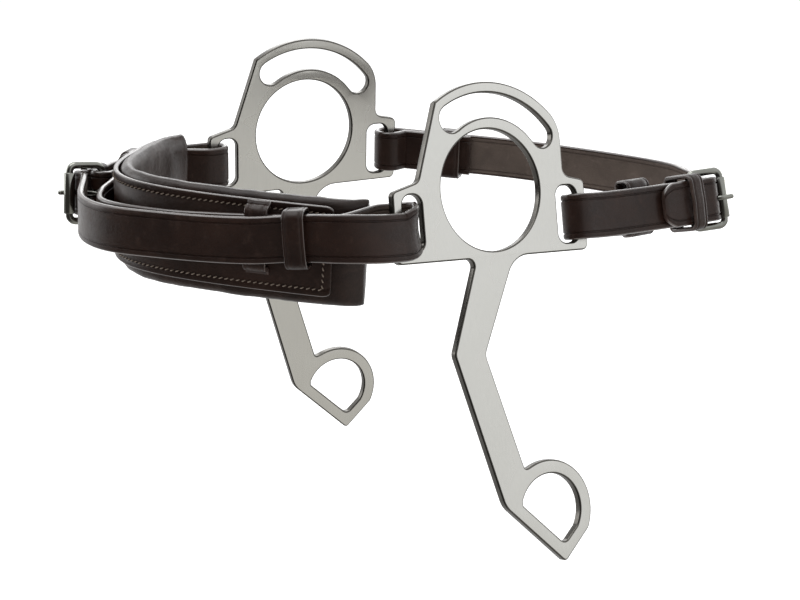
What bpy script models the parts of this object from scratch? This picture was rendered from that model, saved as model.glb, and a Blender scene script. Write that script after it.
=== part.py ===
"""A hackamore: two flat steel cheeks, a padded leather nosepiece, a nose strap and a curb strap.

X runs from the nose to the jaw, Y from the near cheek to the far cheek and Z up. The origin is the
middle of the nosepiece's inner face, where it rests on the nose. Lengths are in metres.
"""

import math

import bmesh
import bpy
from mathutils import Matrix, Vector

# Cheek plates, placed by the centres of their large round holes
CHEEK_THICKNESS = 0.0038
CHEEK_EDGE_ROUND = 0.0005
CHEEK_HOLE_RADIUS = 0.0265
CHEEK_SPREAD = 0.170
CHEEK_BACK = 0.1232
CHEEK_RISE = 0.0167
CHEEK_SIDE_SHIFT = -0.0023
CHEEK_TOE = math.radians(3.8)
NEAR_LEAN = math.radians(14.0)
FAR_LEAN = math.radians(3.2)
NEAR_PITCH = math.radians(4.0)
FAR_PITCH = math.radians(-0.6)
FRONT_SLOT_LEFT = -0.047
FRONT_SLOT_RIGHT = -0.037
FRONT_SLOT_HEIGHT = 0.0242
REAR_SLOT_LEFT = 0.0355
REAR_SLOT_RIGHT = 0.047
REAR_SLOT_HEIGHT = 0.0255
BAR_WIDTH = 0.005
SLOT_CORNER = 0.0044

# Straps
STRAP_WIDTH = 0.0205
STRAP_THICKNESS = 0.0030
STRAP_EDGE_ROUND = 0.0006
PLY_GAP = 0.0004
FOLD_CLEARANCE = 0.0018
SLOT_REST = 0.0010
BAR_LEAD_OUTSIDE = 0.012
BAR_LEAD_INSIDE = 0.004
STATION_STEP = 0.006
FOLD_STEPS = 7

# Nosepiece
PAD_NEAR_END = -0.110
PAD_FAR_END = 0.104
PAD_BEND_RADIUS = 0.0362
PAD_SPLAY = 1.13
PAD_HEIGHT = 0.047
PAD_THICKNESS = 0.0084
PAD_PITCH = math.radians(3.6)
PAD_YAW = math.radians(2.1)
PAD_ROLL = math.radians(1.0)
PAD_FLARE = math.radians(-2.3)
PAD_CURL = 0.0050
PAD_CURL_LENGTH = 0.020
PAD_TAPER = 0.012
FACING_HEIGHT = 0.0395
FACING_RISE = 0.0015
FACING_LENGTH = 0.195
FACING_THICKNESS = 0.0022
SEAT_GAP = 0.0003
LOOP_STATION = 0.066
LOOP_WIDTH = 0.010
LOOP_WALL = 0.0020
LOOP_FOOT = 0.0038
NEAR_LOOP_RISE = 0.0054
FAR_LOOP_RISE = 0.0045

# Nose strap: where it stands off the pad, as (station along the pad, extra distance, rise)
NOSE_INNER_ROUTE = (
    (-0.101, 0.0036, 0.0094), (-0.090, 0.0017, 0.0081), (-0.079, 0.0015, 0.0068),
    (-0.066, 0.0002, 0.0054), (-0.048, 0.0005, 0.0040), (-0.026, 0.0036, 0.0030), (0.0, 0.0070, 0.0018),
    (0.018, 0.0036, 0.0018), (0.034, 0.0002, 0.0028), (0.050, 0.0, 0.0038), (0.066, 0.0002, 0.0045),
    (0.079, 0.0015, 0.0050), (0.090, 0.0017, 0.0053), (0.101, 0.0036, 0.0055),
)
NOSE_NEAR_OUTER_ROUTE = (
    (0.012, 0.0130, 0.0018), (0.0, 0.0130, 0.0018), (-0.010, 0.0120, 0.0022), (-0.026, 0.0086, 0.0030),
    (-0.048, 0.0066, 0.0040), (-0.066, 0.0066, 0.0054), (-0.079, 0.0054, 0.0068),
    (-0.090, 0.0056, 0.0081), (-0.101, 0.0078, 0.0094),
)
NOSE_FAR_OUTER_ROUTE = (
    (0.101, 0.0078, 0.0055), (0.090, 0.0056, 0.0053), (0.079, 0.0054, 0.0050), (0.066, 0.0088, 0.0045),
)
NOSE_BUCKLE_STATION = 0.042
NOSE_CHAPE_RETURN = 0.016
NOSE_BUCKLE_RISE = 0.0045
NOSE_BUCKLE_LIFT = math.radians(48.0)
NOSE_BUCKLE_TILT = math.radians(6.0)

# Curb strap, measured from the rear bars of the cheeks
CURB_NEAR_LENGTH = 0.065
CURB_LEAD_INSIDE = 0.008
CURB_LEAD_OUTSIDE = 0.010
CURB_FAR_LEAD = 0.002
CURB_RETURN = 0.034
CURB_RETURN_RISE = 0.005
FAR_RETURN_START = 0.010
FAR_RETURN_END = 0.046
CURB_CHAPE_RETURN = 0.028
CURB_BUCKLE_RISE = 0.0030
CURB_BUCKLE_LIFT = math.radians(10.0)
CURB_ROUTE = (
    (0.16, 0.0108, 0.0008), (0.32, 0.0216, 0.0015), (0.49, 0.0285, 0.0022), (0.70, 0.0303, 0.0024),
    (0.83, 0.0252, 0.0018), (0.91, 0.0145, 0.0010),
)

# Buckles
BUCKLE_WIRE = 0.0017
BUCKLE_LENGTH = 0.015
BUCKLE_RAISE = 0.0030
BUCKLE_SIDE_GAP = 0.0009
BUCKLE_CORNER = 0.0030
ROLLER_WALL = 0.0006
ROLLER_CLEARANCE = 0.00025
ROLLER_LENGTH = 0.0188
TONGUE_RADIUS = 0.00115
TONGUE_OVERHANG = 0.0035
TONGUE_CLEARANCE = 0.0003
TONGUE_CURL_START = 15.0
TONGUE_CURL_TURN = 255.0
TONGUE_CURL_STEPS = 13
TONGUE_SHAFT_STEPS = 8
TONGUE_LEAD = 0.34
TONGUE_RISE = 0.42
CHAPE_CLEARANCE = 0.0005
CHAPE_SLOT_WIDTH = 0.0036
CHAPE_SLOT_BACK = 0.0055
CHAPE_LEADS = (0.012, 0.004)
CHAPE_SETTLE = 0.006
FAR_PLY_STEP = STRAP_THICKNESS + PLY_GAP * 2
BILLET_BEND = 0.0040
BILLET_TAIL = 0.0235
BILLET_POINT = 0.006
BILLET_POINT_WIDTH = 0.010
BILLET_POINT_STEPS = (0.0, 0.0015, 0.0035)
BILLET_LEAD = 0.004
BILLET_STRAIGHT = 0.6
BILLET_DROP = 0.002
HOLE_LENGTH = 0.0066
HOLE_WIDTH = 0.0030
HOLE_PITCH = 0.0125
NOSE_HOLES = 2
CURB_HOLES = 3
KEEPER_WALL = 0.0018
KEEPER_WIDTH = 0.0066
KEEPER_GAP = 0.0004
KEEPER_CORNER = 0.0022
SLIM_KEEPER_WALL = 0.0012
SLIM_KEEPER_WIDTH = 0.0095
SLIM_KEEPER_STATION = 0.0845
SLIM_KEEPER_EASE = 0.0007
NOSE_KEEPER_BACK = 0.0095
CURB_KEEPER_BACK = 0.0055
FAR_KEEPER_PLACE = 0.0354
FAR_KEEPER_WIDTH = 0.011
INNER_LOOP_BACK = 0.033
INNER_LOOP_WIDTH = 0.013
INNER_LOOP_BULGE = 0.0018
INNER_LOOP_SHIFT = 0.0007
INNER_LOOP_ROOM = 0.0016

STEEL = ("polished_steel", (0.62, 0.61, 0.58), 0.22, 1.0)
BUCKLE_STEEL = ("buckle_steel", (0.42, 0.43, 0.40), 0.30, 1.0)
STRAP_LEATHER = ("strap_leather", (0.035, 0.022, 0.018), 0.42, 0.0)
PAD_LEATHER = ("pad_leather", (0.042, 0.028, 0.023), 0.50, 0.0)

UP = Vector((0.0, 0.0, 1.0))
NEAR, FAR = -1, 1
TO_NOSE, TO_JAW = -1, 1


def clear_scene():
    for item in list(bpy.data.objects):
        bpy.data.objects.remove(item, do_unlink=True)


def new_collection(name):
    collection = bpy.data.collections.new(name)
    bpy.context.scene.collection.children.link(collection)
    return collection


def material(look):
    name, colour, roughness, metallic = look
    found = bpy.data.materials.get(name)
    if found:
        return found
    made = bpy.data.materials.new(name)
    made.use_nodes = True
    shader = made.node_tree.nodes["Principled BSDF"]
    shader.inputs["Base Color"].default_value = (*colour, 1.0)
    shader.inputs["Roughness"].default_value = roughness
    shader.inputs["Metallic"].default_value = metallic
    return made


def add_object(name, data, look=None, matrix=None):
    item = bpy.data.objects.new(name, data)
    PARTS.objects.link(item)
    if look:
        data.materials.append(material(look))
    if matrix:
        item.matrix_world = matrix
    return item


def add_bevel(item, width, segments=1, angle=50.0):
    bevel = item.modifiers.new("round_edges", "BEVEL")
    bevel.width = width
    bevel.segments = segments
    bevel.limit_method = "ANGLE"
    bevel.angle_limit = math.radians(angle)
    return bevel


def add_solidify(item, thickness, offset=0.0):
    solid = item.modifiers.new("thickness", "SOLIDIFY")
    solid.thickness = thickness
    solid.offset = offset
    solid.use_even_offset = True
    return solid


def arc(centre_x, centre_z, radius, start, end, step=12.0):
    """Points on an arc, from one angle to another in degrees."""
    count = max(2, round(abs(end - start) / step))
    angles = [math.radians(start + (end - start) * i / count) for i in range(count + 1)]
    return [(centre_x + radius * math.cos(a), centre_z + radius * math.sin(a), 0.0) for a in angles]


def round_corners(corners, steps=4, closed=True):
    """Rounds each (x, z, radius) corner of an outline with its own radius."""
    points = []
    last = len(corners) - 1
    for i, (x, z, radius) in enumerate(corners):
        here = Vector((x, z))
        if radius <= 0.0 or (not closed and i in (0, last)):
            points.append(here)
            continue
        before = (Vector(corners[i - 1][:2]) - here).normalized()
        after = (Vector(corners[(i + 1) % len(corners)][:2]) - here).normalized()
        half = before.angle(after) / 2
        reach = radius / math.tan(half)
        centre = here + (before + after).normalized() * (radius / math.sin(half))
        first = here + before * reach - centre
        final = here + after * reach - centre
        for k in range(steps + 1):
            points.append(centre + first.lerp(final, k / steps).normalized() * radius)
    return points


def flat_curve(name, outlines, thickness, rounding):
    """A flat plate in the XZ plane as a filled 2D curve; outlines after the first are holes."""
    curve = bpy.data.curves.new(name, "CURVE")
    curve.dimensions = "2D"
    curve.fill_mode = "BOTH"
    curve.extrude = thickness / 2 - rounding
    curve.bevel_depth = rounding
    curve.bevel_resolution = 0
    curve.offset = -rounding
    for outline in outlines:
        spline = curve.splines.new("POLY")
        spline.points.add(len(outline) - 1)
        for point, (x, z) in zip(spline.points, outline):
            point.co = (x, z, 0.0, 1.0)
        spline.use_cyclic_u = True
    return curve


def curve_to_mesh(name, curve, turn=Matrix()):
    """The curve as a welded mesh, turned into its own frame."""
    item = bpy.data.objects.new(name, curve)
    bpy.context.scene.collection.objects.link(item)
    depsgraph = bpy.context.evaluated_depsgraph_get()
    mesh = bpy.data.meshes.new_from_object(item.evaluated_get(depsgraph))
    bpy.data.objects.remove(item, do_unlink=True)
    mesh.name = name
    work = bmesh.new()
    work.from_mesh(mesh)
    bmesh.ops.remove_doubles(work, verts=work.verts, dist=0.00001)
    work.to_mesh(mesh)
    work.free()
    mesh.transform(turn)
    return mesh


def cheek_outline():
    """The plate's outer edge, clockwise from the front corner of its arch."""
    corners = arc(0.0011, -0.0015, 0.0485, 124.3, 45.7, 8.0)
    corners += arc(0.0225, 0.0204, 0.0180, 40.0, 0.0)
    corners += [
        (0.0405, 0.0046, 0.004), (0.0520, 0.0022, 0.003), (0.0515, -0.0293, 0.003),
        (0.0098, -0.0293, 0.012), (-0.0098, -0.0708, 0.006), (0.0065, -0.1229, 0.0015),
    ]
    corners += arc(0.0186, -0.1431, 0.0230, 114.0, -26.0, 10.0)
    corners += [
        (0.0250, -0.1665, 0.002), (-0.0057, -0.1379, 0.012), (-0.0261, -0.0695, 0.005),
        (-0.0108, -0.0293, 0.003), (-0.0520, -0.0293, 0.003), (-0.0516, 0.0014, 0.0025),
        (-0.0380, 0.0052, 0.004),
    ]
    return round_corners(corners)


def slot_outline(left, right, height):
    corners = [(left, 0.0), (right, 0.0), (right, -height), (left, -height)]
    return round_corners([(x, z, SLOT_CORNER) for x, z in corners])


def cheek_holes():
    """The large hole, the arch slot, the two strap slots and the rein ring's opening."""
    circle = [(x, z) for x, z, _ in arc(0.0, 0.0, CHEEK_HOLE_RADIUS, 0.0, 350.0, 10.0)]
    arch = arc(0.0005, -0.0017, 0.0440, 119.5, 39.7, 8.0)
    arch += arc(0.0301, 0.0229, 0.00565, 20.0, -126.0, 20.0)
    arch += arc(0.0018, 0.0022, 0.0294, 36.2, 124.4, 8.0)
    arch += arc(-0.0182, 0.0314, 0.0060, 284.0, 140.0, 20.0)
    ring = arc(0.0191, -0.1426, 0.0163, 158.0, -33.0)
    ring += [(0.0253, -0.1583, 0.003), (0.0040, -0.1385, 0.001)]
    return [
        circle, [(x, z) for x, z, _ in arch], round_corners(ring),
        slot_outline(FRONT_SLOT_LEFT, FRONT_SLOT_RIGHT, FRONT_SLOT_HEIGHT),
        slot_outline(REAR_SLOT_LEFT, REAR_SLOT_RIGHT, REAR_SLOT_HEIGHT),
    ]


def cheek_matrix(side):
    """Places a cheek: side -1 is the near one and side 1 the far one."""
    lean = -NEAR_LEAN if side == NEAR else FAR_LEAN
    pitch = NEAR_PITCH if side == NEAR else FAR_PITCH
    place = Vector((CHEEK_BACK, CHEEK_SIDE_SHIFT + side * CHEEK_SPREAD / 2, CHEEK_RISE))
    turn = Matrix.Rotation(-side * CHEEK_TOE, 4, "Z") @ Matrix.Rotation(lean, 4, "X")
    return Matrix.Translation(place) @ turn @ Matrix.Rotation(pitch, 4, "Y")


def build_cheeks():
    curve = flat_curve("cheek_plate", [cheek_outline()] + cheek_holes(), CHEEK_THICKNESS, CHEEK_EDGE_ROUND)
    upright = Matrix.Rotation(math.radians(90.0), 4, "X")
    mesh = curve_to_mesh("cheek_plate", curve, upright)
    bpy.data.curves.remove(curve)
    mesh.materials.append(material(STEEL))
    for name, side in (("near_cheek", NEAR), ("far_cheek", FAR)):
        add_object(name, mesh, matrix=cheek_matrix(side))


# Routes are lists of stations: a point on the strap's middle line and the strap's width direction


def bar_x(direction):
    """Where the outer bar of a slot lies along the plate."""
    if direction == TO_NOSE:
        return FRONT_SLOT_LEFT - BAR_WIDTH / 2
    return REAR_SLOT_RIGHT + BAR_WIDTH / 2


def strap_level(direction):
    """Height of the strap's middle line on the plate: the strap rests low in its slot."""
    height = FRONT_SLOT_HEIGHT if direction == TO_NOSE else REAR_SLOT_HEIGHT
    return -height + SLOT_REST + STRAP_WIDTH / 2


def fold_radius():
    """The strap's middle line round a bar."""
    corner = math.hypot(BAR_WIDTH / 2, CHEEK_THICKNESS / 2)
    return corner + FOLD_CLEARANCE + STRAP_THICKNESS / 2


def fold(side, direction):
    """Stations round a cheek's outer bar, from the outside of the plate to its inside."""
    matrix = cheek_matrix(side)
    up = (matrix.to_3x3() @ UP).normalized()
    radius = fold_radius()
    stations = []
    for i in range(FOLD_STEPS + 1):
        angle = math.pi * i / FOLD_STEPS
        x = bar_x(direction) - direction * radius * math.sin(angle)
        y = side * radius * math.cos(angle)
        stations.append((matrix @ Vector((x, y, strap_level(direction))), up))
    return stations


def beside_bar(side, direction, distance, outward):
    """A station a distance past the bar, outward of the plate's middle plane."""
    matrix = cheek_matrix(side)
    up = (matrix.to_3x3() @ UP).normalized()
    x = bar_x(direction) + direction * distance
    return matrix @ Vector((x, side * outward, strap_level(direction))), up


def between(p0, p1, p2, p3, share):
    """A point on the smooth curve from p1 to p2."""
    knots = [0.0]
    for a, b in ((p0, p1), (p1, p2), (p2, p3)):
        knots.append(knots[-1] + max(math.sqrt((b - a).length), 1e-5))
    t = knots[1] + (knots[2] - knots[1]) * share

    def blend(a, b, start, end):
        return a * ((end - t) / (end - start)) + b * ((t - start) / (end - start))

    a1 = blend(p0, p1, knots[0], knots[1])
    a2 = blend(p1, p2, knots[1], knots[2])
    a3 = blend(p2, p3, knots[2], knots[3])
    b1 = blend(a1, a2, knots[0], knots[2])
    b2 = blend(a2, a3, knots[1], knots[3])
    return blend(b1, b2, knots[1], knots[2])


def smooth_route(stations, step=STATION_STEP):
    """Adds stations on a smooth curve wherever two of the route's own lie far apart."""
    points = [place for place, _ in stations]
    points = [points[0] * 2 - points[1]] + points + [points[-1] * 2 - points[-2]]
    dense = [stations[0]]
    for i in range(len(stations) - 1):
        count = max(1, round((points[i + 2] - points[i + 1]).length / step))
        for k in range(1, count + 1):
            place = between(*points[i:i + 4], k / count)
            dense.append((place, stations[i][1].lerp(stations[i + 1][1], k / count).normalized()))
    return dense


def square_up(stations):
    """Turns each width direction square to the route and adds the route's direction there."""
    squared = []
    for i, (place, up) in enumerate(stations):
        ahead = stations[min(i + 1, len(stations) - 1)][0]
        behind = stations[max(i - 1, 0)][0]
        along = (ahead - behind).normalized()
        squared.append((place, (up - along * up.dot(along)).normalized(), along))
    return squared


def half_width(distance):
    """Half the strap's width, that far from its pointed end."""
    share = min(1.0, distance / BILLET_POINT)
    return (BILLET_POINT_WIDTH + (STRAP_WIDTH - BILLET_POINT_WIDTH) * math.sqrt(share)) / 2


def ribbon(name, stations, look, pointed=False):
    """A flat strap along a route; a pointed one narrows at its first station."""
    squared = square_up(stations)
    work = bmesh.new()
    walked = 0.0
    rungs = []
    for i, (place, up, _) in enumerate(squared):
        if i:
            walked += (place - squared[i - 1][0]).length
        half = half_width(walked) if pointed else STRAP_WIDTH / 2
        rungs.append((work.verts.new(place - up * half), work.verts.new(place + up * half)))
    for (a, b), (c, d) in zip(rungs, rungs[1:]):
        work.faces.new((a, b, d, c))
    mesh = bpy.data.meshes.new(name)
    work.to_mesh(mesh)
    work.free()
    mesh.shade_smooth()
    strap = add_object(name, mesh, look)
    add_solidify(strap, STRAP_THICKNESS)
    add_bevel(strap, STRAP_EDGE_ROUND)
    return strap


def cut(item, cutters, name="cut"):
    """Cuts the item by each cutter, which stays as a hidden wire."""
    for cutter in cutters:
        CUTTERS.objects.link(cutter)
        cutter.hide_render = True
        cutter.display_type = "WIRE"
        boolean = item.modifiers.new(name, "BOOLEAN")
        boolean.operation = "DIFFERENCE"
        boolean.solver = "EXACT"
        boolean.object = cutter


def pad_curve(y):
    """How far back the nosepiece's middle surface lies, that far to the side."""
    radius = PAD_BEND_RADIUS * PAD_SPLAY ** 2
    return math.sqrt(radius ** 2 + (PAD_SPLAY * y) ** 2) - radius


def pad_matrix():
    turn = Matrix.Rotation(PAD_YAW, 4, "Z") @ Matrix.Rotation(PAD_PITCH, 4, "Y")
    turn = turn @ Matrix.Rotation(PAD_ROLL, 4, "X")
    return turn @ Matrix.Translation((-PAD_THICKNESS / 2, 0.0, 0.0))


def pad_station(distance, outward=0.0, rise=0.0):
    """A frame on the nosepiece, a distance along it from its middle (near side negative).

    Its X runs along the pad, its Y outward and its Z up the pad.
    """
    y = 0.0
    walked = 0.0
    small = 0.0005 if distance >= 0 else -0.0005
    while walked < abs(distance):
        piece = math.hypot(small, pad_curve(y + small) - pad_curve(y))
        share = min(1.0, (abs(distance) - walked) / piece)
        y += small * share
        walked += piece
    slope = (pad_curve(y + 0.0001) - pad_curve(y - 0.0001)) / 0.0002
    along = Vector((slope, 1.0, 0.0)).normalized()
    out = Vector((-along.y, along.x, 0.0))
    local = Matrix((along, out, UP)).transposed().to_4x4()
    local.translation = Vector((pad_curve(y), y, 0.0))
    flare = Matrix.Rotation(PAD_FLARE, 4, "X")
    return pad_matrix() @ local @ flare @ Matrix.Translation((0.0, outward, rise))


def on_pad(distance, outward, rise):
    frame = pad_station(distance, outward, rise)
    return frame.translation.copy(), (frame.to_3x3() @ UP).normalized()


def loft(name, sections, look):
    """A closed skin through rings of points, with both ends capped."""
    work = bmesh.new()
    rings = [[work.verts.new(point) for point in section] for section in sections]
    count = len(rings[0])
    for ring, following in zip(rings, rings[1:]):
        for i in range(count):
            j = (i + 1) % count
            work.faces.new((ring[i], ring[j], following[j], following[i]))
    work.faces.new(list(reversed(rings[0])))
    work.faces.new(rings[-1])
    bmesh.ops.recalc_face_normals(work, faces=work.faces)
    mesh = bpy.data.meshes.new(name)
    work.to_mesh(mesh)
    work.free()
    mesh.shade_smooth()
    return add_object(name, mesh, look)


def pad_section(distance, scale):
    """A rounded section of the cushion, fuller on its inner face, in the pad's frame."""
    past = max(0.0, PAD_NEAR_END + PAD_CURL_LENGTH - distance, distance - PAD_FAR_END + PAD_CURL_LENGTH)
    frame = pad_station(distance, -PAD_CURL * (past / PAD_CURL_LENGTH) ** 2)
    high = PAD_HEIGHT / 2
    deep = PAD_THICKNESS / 2
    outline = (
        (-deep, 0.0), (-deep * 0.95, high * 0.55), (-deep * 0.60, high * 0.93), (0.0, high),
        (deep * 0.75, high * 0.88), (deep, high * 0.55), (deep, 0.0), (deep, -high * 0.55),
        (deep * 0.75, -high * 0.88), (0.0, -high), (-deep * 0.60, -high * 0.93),
        (-deep * 0.95, -high * 0.55),
    )
    return [frame @ Vector((0.0, out * scale, up * (0.8 + scale * 0.2))) for out, up in outline]


def build_pad():
    """The rolled cushion and the flat facing on its outer side."""
    taper = ((0.0, 0.50), (0.002, 0.78), (0.006, 0.95))
    inner = 18
    full = PAD_FAR_END - PAD_NEAR_END - PAD_TAPER * 2
    places = [PAD_NEAR_END + reach for reach, _ in taper]
    places += [PAD_NEAR_END + PAD_TAPER + full * i / inner for i in range(inner + 1)]
    places += [PAD_FAR_END - reach for reach, _ in reversed(taper)]
    scales = [scale for _, scale in taper] + [1.0] * (inner + 1) + [scale for _, scale in reversed(taper)]
    sections = [pad_section(place, scale) for place, scale in zip(places, scales)]
    loft("nose_pad", sections, PAD_LEATHER)
    steps = 22
    middle = PAD_THICKNESS / 2 + SEAT_GAP + FACING_THICKNESS / 2
    work = bmesh.new()
    rungs = []
    for i in range(steps + 1):
        frame = pad_station(FACING_LENGTH * (i / steps - 0.5), middle)
        low = work.verts.new(frame @ Vector((0.0, 0.0, FACING_RISE - FACING_HEIGHT / 2)))
        high = work.verts.new(frame @ Vector((0.0, 0.0, FACING_RISE + FACING_HEIGHT / 2)))
        rungs.append((low, high))
    for (a, b), (c, d) in zip(rungs, rungs[1:]):
        work.faces.new((a, b, d, c))
    mesh = bpy.data.meshes.new("nose_facing")
    work.to_mesh(mesh)
    work.free()
    mesh.shade_smooth()
    facing = add_object("nose_facing", mesh, PAD_LEATHER)
    add_solidify(facing, FACING_THICKNESS)
    add_bevel(facing, STRAP_EDGE_ROUND)


def on_facing():
    """Distance from the pad's middle surface to the middle line of a strap on the facing."""
    return PAD_THICKNESS / 2 + SEAT_GAP + FACING_THICKNESS + PLY_GAP + STRAP_THICKNESS / 2


def strip(name, frame, path, width, wall, look, closed):
    """A leather band: a path in the frame's YZ plane, as wide as given along its X."""
    work = bmesh.new()
    rungs = []
    for y, z in path:
        left = work.verts.new(frame @ Vector((-width / 2, y, z)))
        right = work.verts.new(frame @ Vector((width / 2, y, z)))
        rungs.append((left, right))
    following = rungs[1:] + (rungs[:1] if closed else [])
    for (a, b), (c, d) in zip(rungs, following):
        work.faces.new((a, b, d, c))
    mesh = bpy.data.meshes.new(name)
    work.to_mesh(mesh)
    work.free()
    mesh.shade_smooth()
    band = add_object(name, mesh, look)
    add_solidify(band, wall)
    add_bevel(band, STRAP_EDGE_ROUND / 2, angle=60.0)
    return band


def keeper(name, frame, inner, outer, width=KEEPER_WIDTH, wall=KEEPER_WALL, room=KEEPER_GAP):
    """A band round plies whose middle lines lie at inner and outer along the frame's Y."""
    grow = room + wall / 2
    low = inner - STRAP_THICKNESS / 2 - grow
    high = outer + STRAP_THICKNESS / 2 + grow
    half = STRAP_WIDTH / 2 + grow
    corners = [(low, -half), (high, -half), (high, half), (low, half)]
    path = round_corners([(y, z, KEEPER_CORNER) for y, z in corners], steps=3)
    return strip(name, frame, path, width, wall, STRAP_LEATHER, closed=True)


def slim_keeper(name, side, route):
    """A thin free keeper round both layers of the nose strap."""
    outer_route = NOSE_NEAR_OUTER_ROUTE if side == NEAR else NOSE_FAR_OUTER_ROUTE
    inner_place, up, along = beside_station(route, NOSE_INNER_ROUTE, side)
    outer_place, outer_up, back = beside_station(route, outer_route, side)
    along = (along - back).normalized()
    outward = (up + outer_up).cross(along).normalized()
    frame = Matrix((along, outward, along.cross(outward))).transposed().to_4x4()
    frame.translation = (inner_place + outer_place) / 2
    half = (outer_place - inner_place).dot(outward) / 2
    keeper(name, frame, -half, half + SLIM_KEEPER_EASE, SLIM_KEEPER_WIDTH, SLIM_KEEPER_WALL)


def beside_station(route, planned, side):
    """The route's point, width direction and heading where it passes the slim keeper's station."""
    ordered = sorted(planned)
    distance = side * SLIM_KEEPER_STATION
    for (s0, e0, r0), (s1, e1, r1) in zip(ordered, ordered[1:]):
        if s0 <= distance <= s1:
            share = (distance - s0) / (s1 - s0)
            spot, _ = on_pad(distance, on_facing() + e0 + (e1 - e0) * share, r0 + (r1 - r0) * share)
    squared = square_up(route)
    nearest = []
    for (before, _, _), (place, up, _) in zip(squared, squared[1:]):
        along = (place - before).normalized()
        reach = min(max((spot - before).dot(along), 0.0), (place - before).length)
        point = before + along * reach
        nearest.append(((point - spot).length, point, up, along))
    return min(nearest, key=lambda entry: entry[0])[1:]


def route_frame(stations, distance):
    """A frame on a route, a distance along it: X along, Z up and Y to its left."""
    walked = 0.0
    squared = square_up(stations)
    for (before, _, _), (place, up, along) in zip(squared, squared[1:]):
        step = (place - before).length
        if walked + step >= distance:
            frame = Matrix((along, up.cross(along), up)).transposed().to_4x4()
            frame.translation = before.lerp(place, (distance - walked) / step)
            return frame
        walked += step
    raise ValueError("distance %s is past the route" % distance)


def build_loop(name, side):
    """A fixed loop on the facing: two feet and a raised middle that holds the inner layer."""
    seat = PAD_THICKNESS / 2 + SEAT_GAP + FACING_THICKNESS + SEAT_GAP + LOOP_WALL / 2
    raised = seat + STRAP_THICKNESS + PLY_GAP * 2
    half = STRAP_WIDTH / 2 + LOOP_WALL / 2 + KEEPER_GAP * 2
    rise = NEAR_LOOP_RISE if side == NEAR else FAR_LOOP_RISE
    frame = pad_station(side * LOOP_STATION, 0.0, rise)
    corners = [
        (seat, -half - LOOP_FOOT, 0.0), (seat, -half, 0.0012), (raised, -half, 0.0015),
        (raised, half, 0.0015), (seat, half, 0.0012), (seat, half + LOOP_FOOT, 0.0),
    ]
    path = round_corners(corners, steps=3, closed=False)
    strip(name, frame, path, LOOP_WIDTH, LOOP_WALL, STRAP_LEATHER, closed=False)


def chape_radius():
    return BUCKLE_WIRE + CHAPE_CLEARANCE + STRAP_THICKNESS / 2


def roller_radius():
    return BUCKLE_WIRE + ROLLER_CLEARANCE + ROLLER_WALL


def billet_height():
    """How far outward of the heel bar the billet's middle line lies."""
    return chape_radius() + STRAP_THICKNESS + PLY_GAP


def bar_half():
    """Half the distance between the buckle's side bars, middle to middle."""
    return STRAP_WIDTH / 2 + BUCKLE_SIDE_GAP + BUCKLE_WIRE


# A buckle's frame has its origin on the heel bar, X to the roller, Y outward and Z down its bars


def tube(name, frame, points, radius, look, cyclic=False, resolution=2):
    """A round wire through points given in a frame."""
    curve = bpy.data.curves.new(name, "CURVE")
    curve.dimensions = "3D"
    curve.bevel_depth = radius
    curve.bevel_resolution = resolution
    curve.use_fill_caps = not cyclic
    spline = curve.splines.new("POLY")
    spline.points.add(len(points) - 1)
    for target, point in zip(spline.points, points):
        target.co = (*point, 1.0)
    spline.use_cyclic_u = cyclic
    mesh = curve_to_mesh(name, curve)
    bpy.data.curves.remove(curve)
    mesh.shade_smooth()
    return add_object(name, mesh, look, frame)


def build_buckle(prefix, frame):
    """The bent frame, the roller on its front bar and the tongue on its heel bar."""
    half = bar_half()
    corners = [(0.0, -half), (BUCKLE_LENGTH, -half), (BUCKLE_LENGTH, half), (0.0, half)]
    outline = round_corners([(a, w, BUCKLE_CORNER) for a, w in corners])
    points = [(a, BUCKLE_RAISE * a / BUCKLE_LENGTH, w) for a, w in outline]
    tube(prefix + "_buckle_frame", frame, points, BUCKLE_WIRE, BUCKLE_STEEL, cyclic=True)
    build_roller(prefix, frame @ Matrix.Translation((BUCKLE_LENGTH, BUCKLE_RAISE, 0.0)))
    build_tongue(prefix, frame)


def build_roller(prefix, frame):
    inner = BUCKLE_WIRE + ROLLER_CLEARANCE
    outer = roller_radius()
    half = ROLLER_LENGTH / 2
    work = bmesh.new()
    corners = [(outer, half), (outer, -half), (inner, -half), (inner, half)]
    verts = [work.verts.new((x, 0.0, z)) for x, z in corners]
    for i in range(4):
        work.edges.new((verts[i], verts[(i + 1) % 4]))
    mesh = bpy.data.meshes.new(prefix + "_buckle_roller")
    work.to_mesh(mesh)
    work.free()
    roller = add_object(prefix + "_buckle_roller", mesh, BUCKLE_STEEL, frame)
    screw = roller.modifiers.new("turn", "SCREW")
    screw.axis = "Z"
    screw.steps = 20
    screw.render_steps = 20
    screw.use_merge_vertices = True
    screw.merge_threshold = 0.00001
    screw.use_smooth_shade = True


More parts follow.
